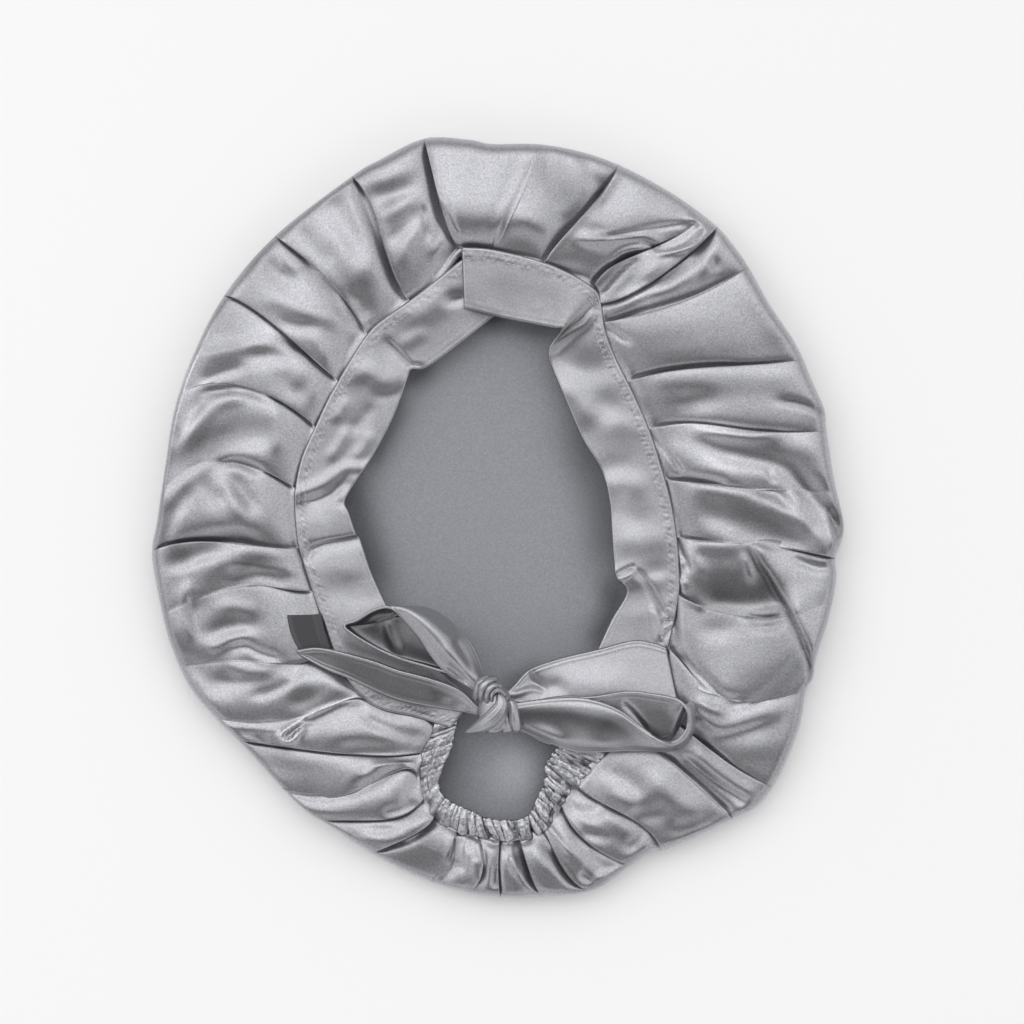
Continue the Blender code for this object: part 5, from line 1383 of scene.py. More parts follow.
def add_stitches(lines, **inputs):
    """The stitches on these lines as one plain mesh."""
    points, edges = [], []
    for line in lines:
        edges += [(len(points) + i, len(points) + i + 1) for i in range(len(line) - 1)]
        points += line.tolist()
    wires = add_mesh("stitches", points, [], edges=edges)
    modifier = wires.modifiers.new("stitches", "NODES")
    modifier.node_group = stitch_tree()
    for socket in modifier.node_group.interface.items_tree:
        if socket.in_out == "INPUT" and socket.name in inputs:
            modifier[socket.identifier] = inputs[socket.name]
    mesh = bpy.data.meshes.new_from_object(wires.evaluated_get(bpy.context.evaluated_depsgraph_get()))
    wires.modifiers.remove(modifier)
    wires.data = mesh
    mesh.shade_smooth()
    return wires


print("mm of stitches:", round(sum(lengths_along(line)[-1] for line in lines_left + lines_right)))

# %% [markdown]
# An elastic runs in a tube of the same satin and draws it into tight ruffles. The tube is a ribbon whose
# height changes along it: uneven blocks, narrow valleys between them, and fine streaks across. Sculpting
# them would be slow, and one even wave would look like a spring; random cells with a changing spacing look
# like cloth.

# %% The gathered casing at the nape
CASING = (
    (-29, -92, -0.8, -18, -90, -0.6), (-30, -100, 0.3, -20, -98, 1.2), (-34, -109, 0.1, -22, -106, 1.0),
    (-36, -120, 0.0, -27, -118, 0.6), (-34, -128, 0.0, -27, -125, 0.6), (-28, -138, 0.0, -22, -131, 0.8),
    (-16, -145, 0.0, -13, -135, 0.8), (-3, -148, 0.0, -4, -139, 0.8), (10, -148, 0.0, 11, -139, 0.8),
    (21, -144, 0.0, 17, -133, 0.8), (29, -132, 0.0, 22, -121, 0.8), (36, -123, 0.0, 24, -111, 1.0),
    (51, -106, 0.3, 38, -98, 1.0), (66, -87, 0.8, 54, -82, 1.0), (75, -72, 1.0, 62, -70, 1.0),
)
RUCHES = (
    # length along in mm, spacing of the gathers, their depth, crumple, ruffles along the tube
    (0, 1.8, 0.4, 0.4, 0.0), (9, 1.8, 0.9, 0.6, 0.2), (16, 4.0, 0.5, 0.3, 0.9), (22, 9.0, 0.3, 0.15, 1.2),
    (38, 8.0, 0.4, 0.2, 1.2), (45, 2.0, 1.1, 0.5, 0.2), (56, 2.2, 1.4, 0.5, 0.0), (62, 3.2, 1.8, 0.4, 0.0),
    (88, 2.8, 1.7, 0.5, 0.0), (98, 1.9, 1.2, 1.0, 0.0), (140, 1.8, 1.2, 1.1, 0.0), (190, 1.8, 1.0, 0.9, 0.0),
)


def ruche(grid, places):
    """Gathers across the casing: uneven blocks parted by narrow valleys, crumpled where drawn tight."""
    at, *rows = np.array(RUCHES).T
    pitch, depth, crumple, ruffle = (np.interp(places, at, row)[:, None] for row in rows)
    along = np.broadcast_to(places[:, None], grid.shape[:2])
    across = from_first_edge(grid)
    share = across / across[:, -1:]
    level = 0.0 * across
    gathers = np.concatenate([[0.0], np.cumsum(np.diff(places) / pitch[1:, 0])])[:, None] + 0.12 * across
    valley = 0.07 + 0.2 * (1.0 - share)
    block = 1.0 - np.exp(-((uneven(gathers, across, 41, 1.0, 24.0) / valley) ** 2))
    size = 0.8 + 0.6 * uneven(along, across, 43, 5.0, 9.0)
    streaks = 0.55 * uneven(along + 0.2 * across, across, 44, 0.95, 9.0)
    lumps = 0.5 * uneven(along, across, 45, 1.3, 1.7)
    height = depth * (0.7 * size * (block - 0.7) + 0.45 * streaks) + crumple * (0.6 * streaks + 0.7 * lumps)
    height = height + 0.8 * ruffle * uneven(along, across, 47, 17.0, 2.0)
    ends = smoothstep(0.0, 8.0, places)[:, None]
    grid[..., 2] += height * ends + 0.9 * np.sin(math.pi * share)
    # The two edges are frilled as well, in plan.
    reach = grid[:, -1] - grid[:, 0]
    reach[:, 2] = 0.0
    reach /= np.linalg.norm(reach, axis=1, keepdims=True)
    frill = smoothstep(0.4, 1.0, share) * (0.3 * height + 0.8 * crumple * uneven(along, level, 46, 1.5, 1.0))
    outer_edge = 1.0 - smoothstep(0.0, 0.5, share)
    frill = frill + outer_edge * (0.8 + 0.6 * crumple) * uneven(along, level, 48, 3.4, 1.0)
    # Painted shade darkens the valleys and the patches beside the outer edge; painted highlight lightens
    # the tops of the streaks and lumps.
    edge_shade_patches = (1.0 - smoothstep(0.0, 0.45, share)) * smoothstep(-0.1, 0.6, uneven(along, level, 49, 3.2, 1.0))
    dark = depth / 1.8 * (0.6 * (1.0 - block) - 0.15 * block) + 0.65 * edge_shade_patches
    dark = dark - 0.8 * streaks - 0.8 * lumps * crumple
    return grid + reach[:, None] * (frill * ends)[..., None], np.clip(dark, -0.45, 0.75) * ends


grid, places = ribbon(CASING, step=0.42, across=0.45)
grid, dark = ruche(grid, places)
casing = add_ribbon("casing_cloth", grid, thickness=1.0, bead=0.3, shade=dark)
print("casing faces:", len(casing.data.polygons))

# %% [markdown]
# The two ends of the band are long ties, knotted in a half bow. One is a flat strap that runs to the knot
# and comes back as the right loop. Each is a ribbon given by a few measured sections. A loop has a front
# layer and a back layer; the sections turn round at its tip.

# %% The strap and the right loop
TIE_RIGHT = (
    (77, -60, 3.0, 82, -84, 5.0), (71, -58, 2.8, 73, -87, 5.4), (62, -57, 2.8, 64, -88, 5.6),
    (46, -61, 3.0, 47, -90, 5.8), (29, -65, 3.4, 31, -90, 5.8), (15, -70, 4.4, 17, -88, 6.0),
    (8, -77, 6.5, 9, -86, 6.0), (2, -82, 7.5, 3, -85, 7.0),
)
LOOP_RIGHT = (
    # upper edge, crest, face, lower edge: first the front layer up to the tip, then the back layer
    (3, -86, 11, 3, -88, 12.6, 3, -90.5, 11.4, 3, -93, 7.5),
    (20, -83.5, 11.8, 20.3, -87.2, 13.4, 21, -97, 12.6, 22, -102, 7.5),
    (34, -82.5, 12.2, 34.5, -87, 14, 35, -101, 12.8, 36, -107, 7.5),
    (45, -84, 13, 45.5, -88, 14.6, 46, -102, 13, 47, -107, 7.5),
    (56, -88.5, 14.2, 56.3, -91.5, 15.4, 57, -102, 13, 58, -106.5, 8),
    (66, -96, 15.2, 66.5, -98, 15.8, 68, -103.5, 14, 70, -106.5, 8.5),
    (74, -101.5, 16, 75, -102.6, 16, 77, -104.8, 13.5, 79, -106.5, 8.5),
    (81, -102, 16.5, 82, -102.6, 16, 83.5, -103.6, 13, 85, -104.5, 8.5),
    (86, -97, 17, 87, -97.5, 16, 88.4, -98.3, 13, 89, -99, 8.5),
    (87, -90, 17, 88, -90, 16, 89.2, -90, 13, 90, -90, 8.5),
    (85, -85.5, 17, 86, -85.3, 16, 87.4, -85, 13, 88, -84.5, 8.5),
    (81, -82.5, 16.5, 80.7, -88, 15.2, 80.3, -94, 13.6, 80, -100, 11.5),
    (70, -80.5, 15.5, 69.7, -88, 13.7, 69.3, -96, 11.8, 69, -103, 10),
    (59, -79.5, 14.5, 58.7, -86, 12.9, 58.3, -93, 11, 58, -99, 9.5),
    (43, -82, 11.6, 43, -85, 11, 43, -88, 10.3, 43, -92, 9.3),
    (29, -82, 10.8, 29, -84.5, 10.3, 29, -87, 9.8, 29, -90, 9),
    (17, -84, 10, 17, -85.5, 9.6, 17, -87, 9.2, 17, -89, 8.4),
    (5, -86, 9, 5, -86.7, 8.6, 5, -87.4, 8.2, 5, -88, 7.6),
)
print("loop mm, out and back:", ribbon(LOOP_RIGHT)[1][-1].round())

# %% [markdown]
# The other end makes the left loop, which stands open so that its inside is seen, and a tail that lies
# flat. Under the knot's right side a small leaf of cloth shows, where the tie is tucked in.

# %% The left loop, the tail and the tuck
LOOP_LEFT = (
    # the edge that is seen, the middle, the hidden edge: first the upper layer, then the lower one
    (-10, -79, 11.5, -8, -75.5, 12.5, -6.5, -73, 8), (-23.7, -70.2, 12, -14.5, -68.5, 14.5, -8.4, -67, 7),
    (-30.7, -62.3, 13.5, -21, -61, 16.5, -12, -58.5, 7),
    (-35.8, -54.4, 14.5, -27.5, -52.5, 17.5, -19, -50.5, 7),
    (-43.2, -46, 15, -36, -44.5, 17, -28.5, -43.2, 7),
    (-49.3, -40.9, 15.5, -44.5, -40.4, 14.5, -39, -41, 6.5),
    (-56.3, -41.9, 15, -54.8, -42.6, 8.5, -50, -46.3, 6.2),
    (-64.2, -46.5, 14, -62.8, -47.2, 6.5, -58, -48, 4.4),
    (-70.2, -49.8, 13.5, -68.2, -50.2, 5.5, -60, -49, 3.6),
    (-57.2, -58.6, 13, -56.5, -58, 3.6, -44, -45.5, 6.5),
    (-44.6, -64.2, 12.5, -44, -63.5, 4.2, -34, -52, 9.5),
    (-30.7, -68.4, 12, -30, -67.6, 5.5, -23, -60, 9.5), (-20, -72.1, 11.5, -19.5, -71.6, 7, -15, -67, 9.5),
    (-9.3, -80, 11, -8.8, -79.5, 9, -7.5, -77, 9),
)
TAIL_LEFT = (
    (-9, -87, 8.5, -9, -90, 7.0), (-18, -79, 8.4, -19, -88, 5.4), (-31, -74, 8.2, -32, -86, 4.6),
    (-46, -70, 7.6, -46, -83, 4.2), (-57, -66, 7.0, -56, -79, 4.2), (-72, -62, 6.0, -69, -73, 4.4),
    (-83, -60, 5.6, -79, -69, 4.8), (-92, -61, 5.4, -90, -63, 5.0),
)
TUCK_RIGHT = (
    (2, -91, 5.6, 2, -95, 5.2), (8, -93, 4.6, 8, -97, 4.2), (15, -95, 3.6, 14, -99, 3.2),
    (21, -98, 2.8, 19, -102, 2.6), (25, -103, 2.4, 24, -104, 2.4),
)
print("loop mm, out and back:", ribbon(LOOP_LEFT)[1][-1].round())

# %% [markdown]
# Pressed folds are added where the ties run into the knot. As one layer of a loop lies right over the
# other, a fold is kept to the first or the second half of the ribbon's length. Inside the loops the light
# is lost again by a shade.

# %% Folds and shades of the bow
TIE_CLOTH = 0.9         # thickness
TIE_STROKES = {
    # ribbon and half: height, reach (or left, right), taper (or start, end), points x, y
    "tie_right": (
        (-1.34, (1.84, 3.45), (0.1, 0.3), 13.5, -70, 16, -74.5, 20, -79, 23, -82),
        (-1.23, (4.6, 2.3), 0.2, 6.5, -79, 12, -77.5, 17.5, -77, 22.5, -79),
        (1.2, 1.47, 0.2, 4.5, -81.5, 10, -80, 16, -78.5, 22, -80.5),
        (-0.72, 3.45, 0.3, 24, -80, 27, -77, 30, -80),
        (0.85, 6.9, 0.2, 29, -75.5, 43, -76.5, 56.5, -76.5),
    ),
    "loop_right first": (
        (-2, (8, 4.6), (0.05, 0.1), 7.5, -92.5, 16.5, -93, 24, -94.5, 30.5, -98, 34.5, -103, 36.5, -108),
        (-0.9, (6, 4), 0.2, 47.5, -99.5, 56.5, -102.5, 67, -104.5),
    ),
    "loop_right second": (
        (-1.17, 1.68, (0.1, 0.2), 57.5, -84.5, 62.5, -89.5, 68.5, -97.5),
        (0.72, 3.45, 0.2, 81, -88.5, 83.5, -87.5, 86.5, -89.5),
    ),
    "loop_left second": ((1.6, 2.6, (0.1, 0.2), -50.5, -47, -49, -54, -45, -63),),
    "loop_left first": (
        (0.87, (4.6, 3.45), 0.2, -24, -58.5, -20.5, -64, -16.5, -70),
        (-1.16, 2.1, (0.1, 0.2), -19.5, -56.5, -15, -64, -11, -71.5),
        (-1.17, 1.68, (0.1, 0.2), -22.5, -67, -18.5, -70, -14, -75.5),
    ),
    "tail_left": (
        (-0.78, 3.45, (0.2, 0.1), -29, -77, -22.5, -82, -16.5, -86.5),
        (0.8, (2.76, 3.45), (0.2, 0.1), -24, -84.5, -18.5, -85.5, -15, -88.5),
    ),
}
LOOP_SHADES = (
    # share of the light taken away, then as above
    (0.55, (2, 6), (0.1, 0.2), 8, -89.5, 22, -89.5, 36, -90.5, 49, -93, 58, -97.5, 66, -102),
    (0.3, 2, 0.2, 10, -107, 17, -107, 24, -107),
)


def pressed(grid, name):
    """The grid with its tie's strokes, each on the whole tie or on the half of its length that it names."""
    half = len(grid) // 2
    for part, rows in (("", slice(None)), (" first", slice(0, half)), (" second", slice(half, None))):
        strokes = TIE_STROKES.get(name + part, ())
        grid[rows, :, 2] += stroke_heights(grid[rows, :, 0], grid[rows, :, 1], strokes)
    return grid


def loop_shade(name, grid):
    """Share of the light that is lost inside a loop, and on the face of the tail between its hems."""
    deep = from_first_edge(grid)
    share = np.linspace(0.0, 1.0, len(grid))[:, None]
    if name == "loop_left":
        inside = smoothstep(0.34, 0.42, share) * (1.0 - smoothstep(0.9, 1.0, share))
        return 0.5 * smoothstep(0.6, 3.0, deep) * inside
    if name == "tail_left":
        inside = np.minimum(deep, deep[:, -1:] - deep)
        ends = smoothstep(0.08, 0.22, share) * (1.0 - 0.4 * smoothstep(0.65, 0.95, share))
        return 0.4 * smoothstep(0.5, 1.3, inside) * ends
    if name == "loop_right":
        tip = smoothstep(0.56, 0.62, share) * (1.0 - smoothstep(0.62, 0.72, share))
        half = len(grid) // 2
        fold = np.zeros(grid.shape[:2])
        fold[:half] = stroke_heights(grid[:half, :, 0], grid[:half, :, 1], LOOP_SHADES)
        return 0.35 * smoothstep(3.0, 9.0, deep) * tip + fold
    return np.zeros(grid.shape[:2])


TIES = {
    "tie_right": TIE_RIGHT, "loop_right": LOOP_RIGHT, "loop_left": LOOP_LEFT, "tail_left": TAIL_LEFT,
    "tuck_right": TUCK_RIGHT,
}
bow = {}
for name, rows in TIES.items():
    grid = pressed(ribbon(rows, step=0.7, across=0.5)[0], name)
    dark = loop_shade(name, grid)
    bow[name] = add_ribbon(name + "_cloth", grid, TIE_CLOTH, bead=0.4, bead_reach=0.8, shade=dark)
print("bow faces:", sum(len(obj.data.polygons) for obj in bow.values()))

# %% [markdown]
# A knot is a bundle of pleated strands that go over and under each other. A simulated knot takes long to
# pull tight. Eight short strands of oval section round a plain core give the same look: each has its own
# pleats and a little twist, and its ends are hidden in its neighbours.

# %% The knot
KNOT_CORE = (
    # x, y, z above the seam, half width, half height
    (-1, -76, 9, 4, 4), (-1, -82, 10, 7, 6), (-1, -88, 10, 8, 6.5), (-1, -94, 9.5, 7, 5.5),
      (0, -97.5, 8, 4, 4),
)
WRAPS = (
    # pleats round the strand, their depth, twist over its length, rows as above
    (0, 0.0, 0.0, KNOT_CORE),
    (3, 0.05, 0.6, ((-10, -83, 8, 1.6, 2.5), (-9.6, -79, 12.5, 1.9, 2.6), (-8, -75, 14, 1.8, 2.6),
                    (-4.4, -72.6, 10, 1.6, 2.6))),
    (4, 0.06, 0.5, ((-7.2, -84, 10, 1.6, 2.6), (-7.4, -79, 15, 1.9, 2.6), (-5, -75, 15.4, 1.9, 2.6),
                    (-0.6, -73.6, 11, 1.7, 2.6))),
    (4, 0.07, 0.5, ((-4.8, -84.5, 13, 1.3, 2.4), (-4.8, -80, 16.6, 1.4, 2.4), (-2.4, -76.6, 16.8, 1.5, 2.4),
                    (1.8, -77, 13, 1.4, 2.4))),
    (3, 0.07, 0.4, ((-2.8, -83.6, 15, 1.0, 2.0), (-2.4, -80, 17.3, 1.1, 2.0), (0.4, -78.4, 17.2, 1.2, 2.0),
                    (4.0, -81.4, 13.5, 1.2, 2.0))),
    (5, 0.05, 0.1, ((0.2, -79.4, 16.4, 1.4, 2.0), (1.6, -85, 17.4, 3.0, 2.6), (-1.8, -90.4, 17, 3.7, 2.8),
                    (-7, -94.6, 14.5, 3.4, 2.6), (-12, -97.2, 11, 1.6, 1.4), (-15, -98, 9.8, 0.5, 0.6))),
    (3, 0.05, 0.1, ((3.6, -84, 14.6, 1.6, 2.0), (2.6, -89, 15.4, 2.0, 2.4), (0.2, -93, 14.2, 2.4, 2.4),
                    (-1.6, -96.4, 11.5, 2.4, 2.2))),
    (3, 0.04, 0.2, ((4.4, -87.5, 12.4, 1.6, 2.4), (6.2, -84.6, 13.8, 2.2, 2.8), (7.4, -90, 14, 2.6, 3.0),
                    (8.2, -94.6, 12.4, 2.8, 2.8), (8.8, -98.0, 9.5, 2.0, 1.8))),
    (3, 0.05, 0.2, ((3.4, -89, 12, 2.4, 2.4), (3.8, -93.4, 11.6, 3.2, 2.8), (4.6, -97.6, 9.4, 3.2, 2.4))),
)
BLUNT = 0.14            # share of a strand's length over which each end is rounded
STRAND_POINTS = 36      # points round a strand


def wrap(rows, pleats, depth, twist, first):
    """A closed strand of pleated cloth: points and faces of a smooth run of oval sections with round ends."""
    run = smooth_curve(rows, per_span=12)
    ahead = np.gradient(run[:, :3], axis=0)
    ahead /= np.linalg.norm(ahead, axis=1, keepdims=True)
    side = np.cross(ahead, (0.0, 0.0, 1.0))
    side /= np.linalg.norm(side, axis=1, keepdims=True)
    up = np.cross(side, ahead)
    share = np.linspace(0.0, 1.0, len(run))
    blunt = np.sqrt(1.0 - np.clip(1.0 - np.minimum(share, 1.0 - share) / BLUNT, 0.0, 0.999) ** 2)
    turn = np.linspace(0.0, TAU, STRAND_POINTS, endpoint=False)
    swell = 1.0 + depth * np.cos(pleats * 2.0 * (turn[None, :] + twist * TAU * share[:, None]))
    across, above = (run[:, k, None] * blunt[:, None] * swell for k in (3, 4))
    oval = side[:, None] * (across * np.cos(turn))[..., None]
    oval = oval + up[:, None] * (above * np.sin(turn))[..., None]
    points = run[:, None, :3] + oval + (0.0, 0.0, SEAM_Z)
    size = len(turn)
    faces = []
    for a in range(first, first + (len(run) - 1) * size, size):
        ring = [(a + i, a + (i + 1) % size) for i in range(size)]
        faces += [(here, after, after + size, here + size) for here, after in ring]
    last = first + (len(run) - 1) * size
    start, end = last + size, last + size + 1
    faces += [(start, first + (i + 1) % size, first + i) for i in range(size)]
    faces += [(end, last + i, last + (i + 1) % size) for i in range(size)]
    ends = np.stack([points[0].mean(axis=0), points[-1].mean(axis=0)])
    return np.vstack([points.reshape(-1, 3), ends]), faces


def make_knot():
    points, faces = np.zeros((0, 3)), []
    for pleats, depth, twist, rows in WRAPS:
        more, around = wrap(rows, pleats, depth, twist, len(points))
        points, faces = np.vstack([points, more]), faces + around
    obj = add_mesh("knot_cloth", points, faces, points[:, :2])
    face_outwards(obj)
    return obj


knot = make_knot()
print("knot faces:", len(knot.data.polygons))

# %% [markdown]
# A small woven label is caught in the seam. It is left blank. It is another ribbon. Its two fold lines at
# the sewn end are painted shade, and painted light lightens its free edge and the strip at the sewn end. A
# cut piece of flat plane would do, but a ribbon has a thickness and soft edges.

# %% The blank label
LABEL = (
    (-96.4, -45, 0, -81.8, -44.6, 0), (-94.6, -53, 0, -79.8, -52.8, 0), (-90.8, -60.6, 0, -77.4, -60.4, 0),
)
LABEL_Z = 4.2           # height of the label above the seam
FOLD_LINE = 0.035       # width of the painted shade on its fold lines, as a share of its length
grid = ribbon(LABEL)[0]
grid[..., 2] += LABEL_Z
strip = np.broadcast_to(np.linspace(0.0, 1.0, grid.shape[1]), grid.shape[:2])
# Painted shade on two fold lines; painted light on the free edge and on the strip at the sewn end.
dark = 0.4 * sum(np.exp(-(((strip - line) / FOLD_LINE) ** 2)) for line in (0.72, 0.9))
dark = dark - 0.5 * (1.0 - smoothstep(0.05, 0.14, strip)) - 0.35 * smoothstep(0.66, 0.7, strip)
label = add_ribbon("label_cloth", grid, thickness=0.6, bead=0.5, bead_reach=0.9, shade=dark)
print("label faces:", len(label.data.polygons))

# %% [markdown]
# The outside is satin: long floats of smooth yarn that shine like brushed metal, over a fine weave. The
# inside is its dull back. One node group makes the fine weave for all of them from the place on the object.
# A photo of cloth would be quicker, but it would stretch and repeat.

# %% The weave


def weave_group():
    """Colour and height of a fine weave, with small wrinkles. Sizes are in millimetres."""
    group = bpy.data.node_groups.new("fine_weave", "ShaderNodeTree")
    for name, kind, value in (
        ("Colour", "Color", (0.4, 0.4, 0.4, 1.0)), ("Grain", "Float", 0.15), ("Grain size", "Float", 0.8),
        ("Grain depth", "Float", 0.01), ("Wrinkle size", "Float", 9.0), ("Wrinkle depth", "Float", 0.1),
        ("Shade", "Float", 0.0),
    ):
        kind = "NodeSocket" + kind
        group.interface.new_socket(name, in_out="INPUT", socket_type=kind).default_value = value
    group.interface.new_socket("Colour", in_out="OUTPUT", socket_type="NodeSocketColor")
    group.interface.new_socket("Height", in_out="OUTPUT", socket_type="NodeSocketFloat")
    given = group.nodes.new("NodeGroupInput").outputs
    place = group.nodes.new("ShaderNodeTexCoord").outputs["Object"]

    def noise(size, detail):
        scale = calculate(group, "DIVIDE", 1.0 / MM, size)
        node = add_node(group, "ShaderNodeTexNoise", Vector=place, Scale=scale, Detail=detail)
        return calculate(group, "SUBTRACT", node.outputs[0], 0.5)

    grain, wrinkle = noise(given["Grain size"], 1.0), noise(given["Wrinkle size"], 2.0)
    tone = calculate(group, "MULTIPLY_ADD", calculate(group, "MULTIPLY", grain, given["Grain"]), 2.0, 1.0)
    # The painted shade takes its share off the colour; below 0 it is painted light.
    tone = calculate(group, "MULTIPLY", tone, calculate(group, "SUBTRACT", 1.0, given["Shade"]))
    colour = add_node(group, "ShaderNodeVectorMath", given["Colour"], operation="SCALE", Scale=tone)
    fine = calculate(group, "MULTIPLY", grain, given["Grain depth"])
    height = calculate(group, "MULTIPLY_ADD", wrinkle, given["Wrinkle depth"], fine)
    made = group.nodes.new("NodeGroupOutput").inputs
    group.links.new(colour.outputs[0], made["Colour"])
    group.links.new(height, made["Height"])
    return group


WEAVE = weave_group()
print("weave nodes:", len(WEAVE.nodes))

# %% [markdown]
# Each cloth is one shader with the weave's colour and bump. Satin is nearly metallic here, as its long
# floats mirror the room along the yarn. Its dull back and the label aren't, and the thread is in between.
# A cloth shader with sheen would glow at the edges, which satin doesn't do.

# %% Satin, thread and label
SATIN = (0.412, 0.413, 0.438)
SHINE = {"roughness": 0.34, "metallic": 0.85}


def satin(name, colour, roughness, metallic, grain=0.2, depth=0.02, wrinkle=0.12, size=9.0):
    """A cloth material: the weave's colour, less the mesh's painted shade, and bump on one shader."""
    material = bpy.data.materials.new(name)
    material.use_nodes = True
    tree = material.node_tree
    shader = tree.nodes["Principled BSDF"]
    shade = add_node(tree, "ShaderNodeAttribute", attribute_name="shade").outputs["Fac"]
    weave = add_node(
        tree, "ShaderNodeGroup", node_tree=WEAVE, Colour=(*colour, 1.0), Shade=shade, Grain=grain,
        Grain_depth=depth, Wrinkle_depth=wrinkle, Wrinkle_size=size
    ).outputs
    bump = add_node(tree, "ShaderNodeBump", Strength=1.0, Distance=MM, Height=weave["Height"])
    tree.links.new(bump.outputs["Normal"], shader.inputs["Normal"])
    tree.links.new(weave["Colour"], shader.inputs["Base Color"])
    shader.inputs["Roughness"].default_value = roughness
    shader.inputs["Metallic"].default_value = metallic
    return material


satin_face = satin("satin_face", SATIN, **SHINE, grain=0.42, depth=0.03)
# The band and the casing take a slightly darker copy of the satin: painted shade on their flatter cloth.
satin_band = satin("satin_band", (0.398, 0.399, 0.423), **SHINE, grain=0.3)
satin_gathered = satin("satin_gathered", (0.40, 0.401, 0.425), **SHINE, grain=0.5, wrinkle=0.4, size=1.6)
satin_tie = satin("satin_tie", SATIN, **SHINE, grain=0.3)
thread = satin("thread", (0.55, 0.55, 0.58), roughness=0.5, metallic=0.3, grain=0.1)
satin_back = satin("satin_back", (0.288, 0.294, 0.321), roughness=0.7, metallic=0.0, grain=0.25)
label_weave = satin("label_weave", (0.055, 0.055, 0.06), roughness=0.8, metallic=0.0)
CLOTHS = (
    (satin_face, (crown,)), (satin_back, (crown,)), (satin_band, (band_left, band_right)),
    (satin_gathered, (casing,)), (satin_tie, (knot, *bow.values())), (label_weave, (label,)),
)
for material, pieces in CLOTHS:
    for piece in pieces:
        piece.data.materials.append(material)
for face in crown.data.polygons[outside_faces:]:
    face.material_index = 1
print("cloths:", [material.name for material, pieces in CLOTHS])

# %% [markdown]
# The thread of the stitches is a piece of its own, which rides along and stands for no solid. Its capsules
# are shorter than their spacing, so that the cloth shows between them.

# %% Thread
stitches = add_stitches(
    lines_left + lines_right, Pitch=STITCH * MM, Length=1.5 * MM, Thickness=0.42 * MM, Turn=0.25, Seed=4,
    Material=thread
)
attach(stitches, "root")
print("stitch faces:", len(stitches.data.polygons))

# %% [markdown]
# Every cloth piece now takes the place of its solid: it rides on the same body and hides the solid's own
# mesh. The sheets of cloth list their flat size, and their measured surface is printed beside it.

# %% Joining the frame
PIECES = (
    # piece, node, material slot
    (crown, "crown", "satin"),
    (band_left, "band_left", "satin_band"), (band_right, "band_right", "satin_band"),
    (casing, "nape_casing", "satin_band"), (knot, "knot", "satin_tie"), (label, "seam_label", "label"),
    *((bow[name], name, "satin_tie") for name in bow),
)
for obj, node, finish in PIECES:
    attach(obj, "root")
    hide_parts(node)
SHEETS = (
    # piece, flat width and length in m, flat area in square m, how it is held, what it lies on
    (crown, 0.46, 0.46, 0.166, "gathered", ()),
    (band_left, 0.030, 0.33, None, "gathered", (crown,)),
    (band_right, 0.028, 0.25, None, "folded", (crown,)),
    (casing, 0.014, 0.24, None, "gathered", (crown,)),
    (bow["tie_right"], 0.029, 0.09, None, "stretched", (crown,)),
    (bow["loop_right"], 0.022, 0.18, None, "folded", (crown,)),
    (bow["loop_left"], 0.020, 0.17, None, "folded", (crown,)),
    (bow["tail_left"], 0.014, 0.09, None, "laid", (crown,)),
    (bow["tuck_right"], 0.010, 0.018, None, "folded", (crown,)),
    (label, 0.016, 0.018, None, "laid", (crown,)),
)
for obj, width, length, area, held, under in SHEETS:
    size = 0.5 * sum(face.area for face in obj.data.polygons)
    print("sheet", obj.name, "measured", round(size, 5), "of", round(area or width * length, 5))

# %% [markdown]
# The bonnet lies on white paper and is seen from straight above. One wide lamp at the left gives the folds
# a soft direction; nearly all the other light comes from the room.

# %% Floor, light and camera
VIEW_X, VIEW_Y = 6.5, 2.8
VIEW_WIDTH = 476.0
CAMERA_HEIGHT = 1.6
SENSOR = 36.0
PAPER = (0.955, 0.955, 0.957, 1.0)


def add_floor():
    """A wide sheet of dull white paper."""
    floor = add_mesh("floor", [(-2500, -2500, 0), (2500, -2500, 0), (2500, 2500, 0), (-2500, 2500, 0)],
                     [(0, 1, 2, 3)])
    material = bpy.data.materials.new("floor_paper")
    material.use_nodes = True
    shader = material.node_tree.nodes["Principled BSDF"]
    shader.inputs["Base Color"].default_value = PAPER
    shader.inputs["Roughness"].default_value = 1.0
    shader.inputs["Specular IOR Level"].default_value = 0.0
    floor.data.materials.append(material)


def add_light(name, place, width, depth, power):
    """A rectangular lamp that looks at the middle of the table."""
    data = bpy.data.lights.new(name, "AREA")
    data.shape = "RECTANGLE"
    data.size, data.size_y, data.energy = width, depth, power
    light = bpy.data.objects.new(name, data)
    light.location = place
    light.rotation_euler = (-Vector(place)).to_track_quat("-Z", "Y").to_euler()
    bpy.context.scene.collection.objects.link(light)


def add_camera():
    """A camera straight above, just wide enough for the view."""
    data = bpy.data.cameras.new("camera")
    data.lens = SENSOR * CAMERA_HEIGHT / (VIEW_WIDTH * MM)
    camera = bpy.data.objects.new("camera", data)
    camera.location = (VIEW_X * MM, VIEW_Y * MM, CAMERA_HEIGHT)
    bpy.context.scene.collection.objects.link(camera)
    bpy.context.scene.camera = camera
    print("lens mm:", round(data.lens))


add_floor()
add_light("softbox_left", (-1.3, 0.5, 1.2), 0.5, 1.0, 2.5)
add_camera()

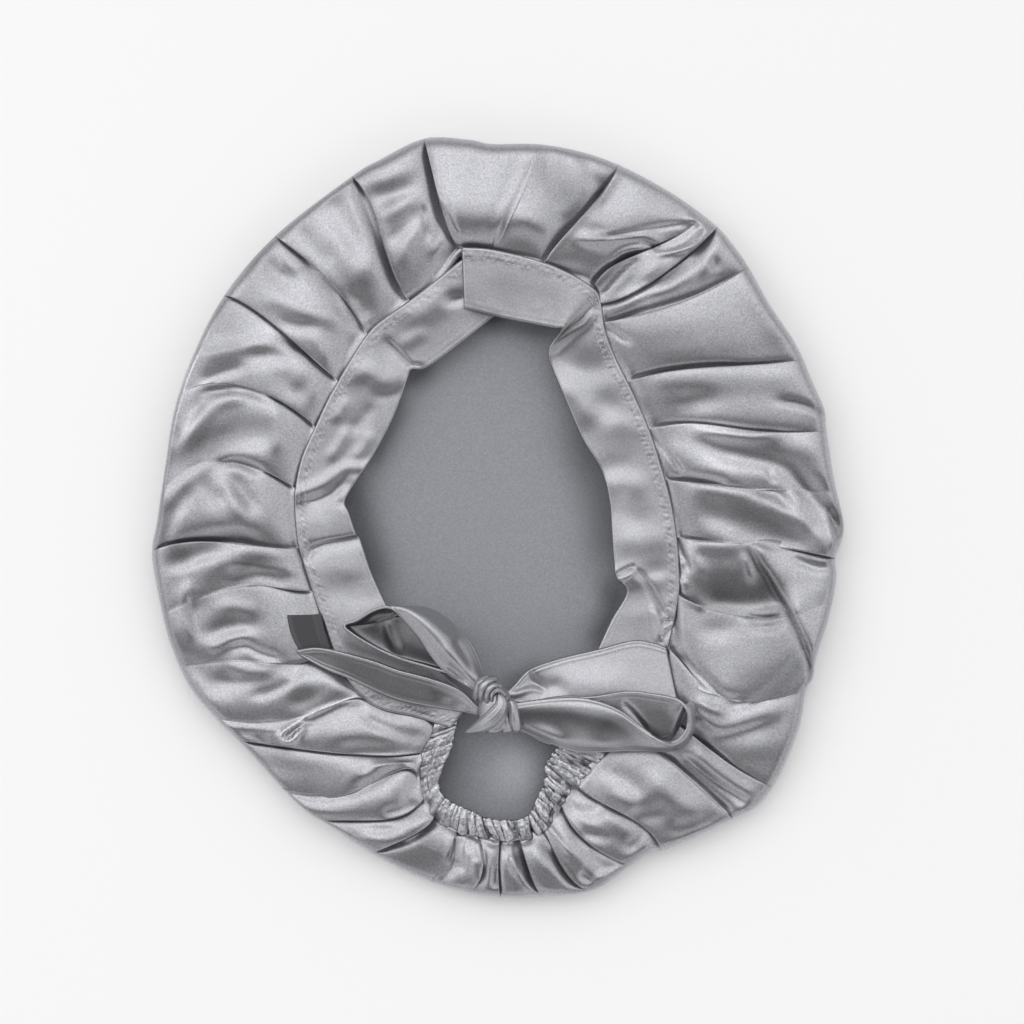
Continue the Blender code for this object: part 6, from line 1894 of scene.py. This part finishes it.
# %% [markdown]
# Satin looks like its surroundings. A white tent would make it flat, so the room is bright above, darker
# near the floor, with a bright area behind the forehead side and two dark screens in front. These make the
# light and dark bands across each fold. A world shader does this without any lamps to place.

# %% The white room round the table
ROOM = 1.35             # brightness of the whole room
BOUNCE = (
    # height of the direction (0 level, 1 straight up), brightness of the bare room
    (0.0, 0.5), (0.3, 0.5), (0.58, 0.86), (0.77, 0.78), (1.0, 0.73),
)
SOFTBOXES = (
    # direction x, y, z, sharpness, brightness (below 0 is a dark screen)
    (-0.03, 0.43, 0.90, 15.0, 0.85), (-0.22, -0.42, 0.88, 13.0, -0.66), (0.30, -0.42, 0.88, 18.0, -0.68),
)


def make_room():
    """White light that changes with height, with a bright soft area behind and two dark ones in front."""
    world = bpy.data.worlds.new("studio")
    world.use_nodes = True
    tree = world.node_tree
    way = tree.nodes.new("ShaderNodeTexCoord").outputs["Generated"]
    split = add_node(tree, "ShaderNodeSeparateXYZ", way)
    ramp = add_node(tree, "ShaderNodeValToRGB", split.outputs["Z"])
    stops = ramp.color_ramp.elements
    while len(stops) > 1:
        stops.remove(stops[-1])
    for i, (height, value) in enumerate(BOUNCE):
        stop = stops[0] if i == 0 else stops.new(height)
        stop.position = height
        stop.color = (value, value, value, 1.0)
    total = ramp.outputs["Color"]
    for *toward, sharpness, brightness in SOFTBOXES:
        toward = Vector(toward).normalized()
        dot = add_node(tree, "ShaderNodeVectorMath", way, toward, operation="DOT_PRODUCT").outputs["Value"]
        lobe = calculate(tree, "POWER", calculate(tree, "MAXIMUM", dot, 0.0), sharpness)
        total = calculate(tree, "ADD", calculate(tree, "MULTIPLY", lobe, brightness), total)
    background = tree.nodes["Background"]
    background.inputs["Color"].default_value = (1.0, 1.0, 1.0, 1.0)
    tree.links.new(calculate(tree, "MULTIPLY", total, ROOM), background.inputs["Strength"])
    return world


bpy.context.scene.world = make_room()
bpy.context.scene.view_settings.view_transform = "Standard"
print("soft areas of the room:", len(SOFTBOXES))
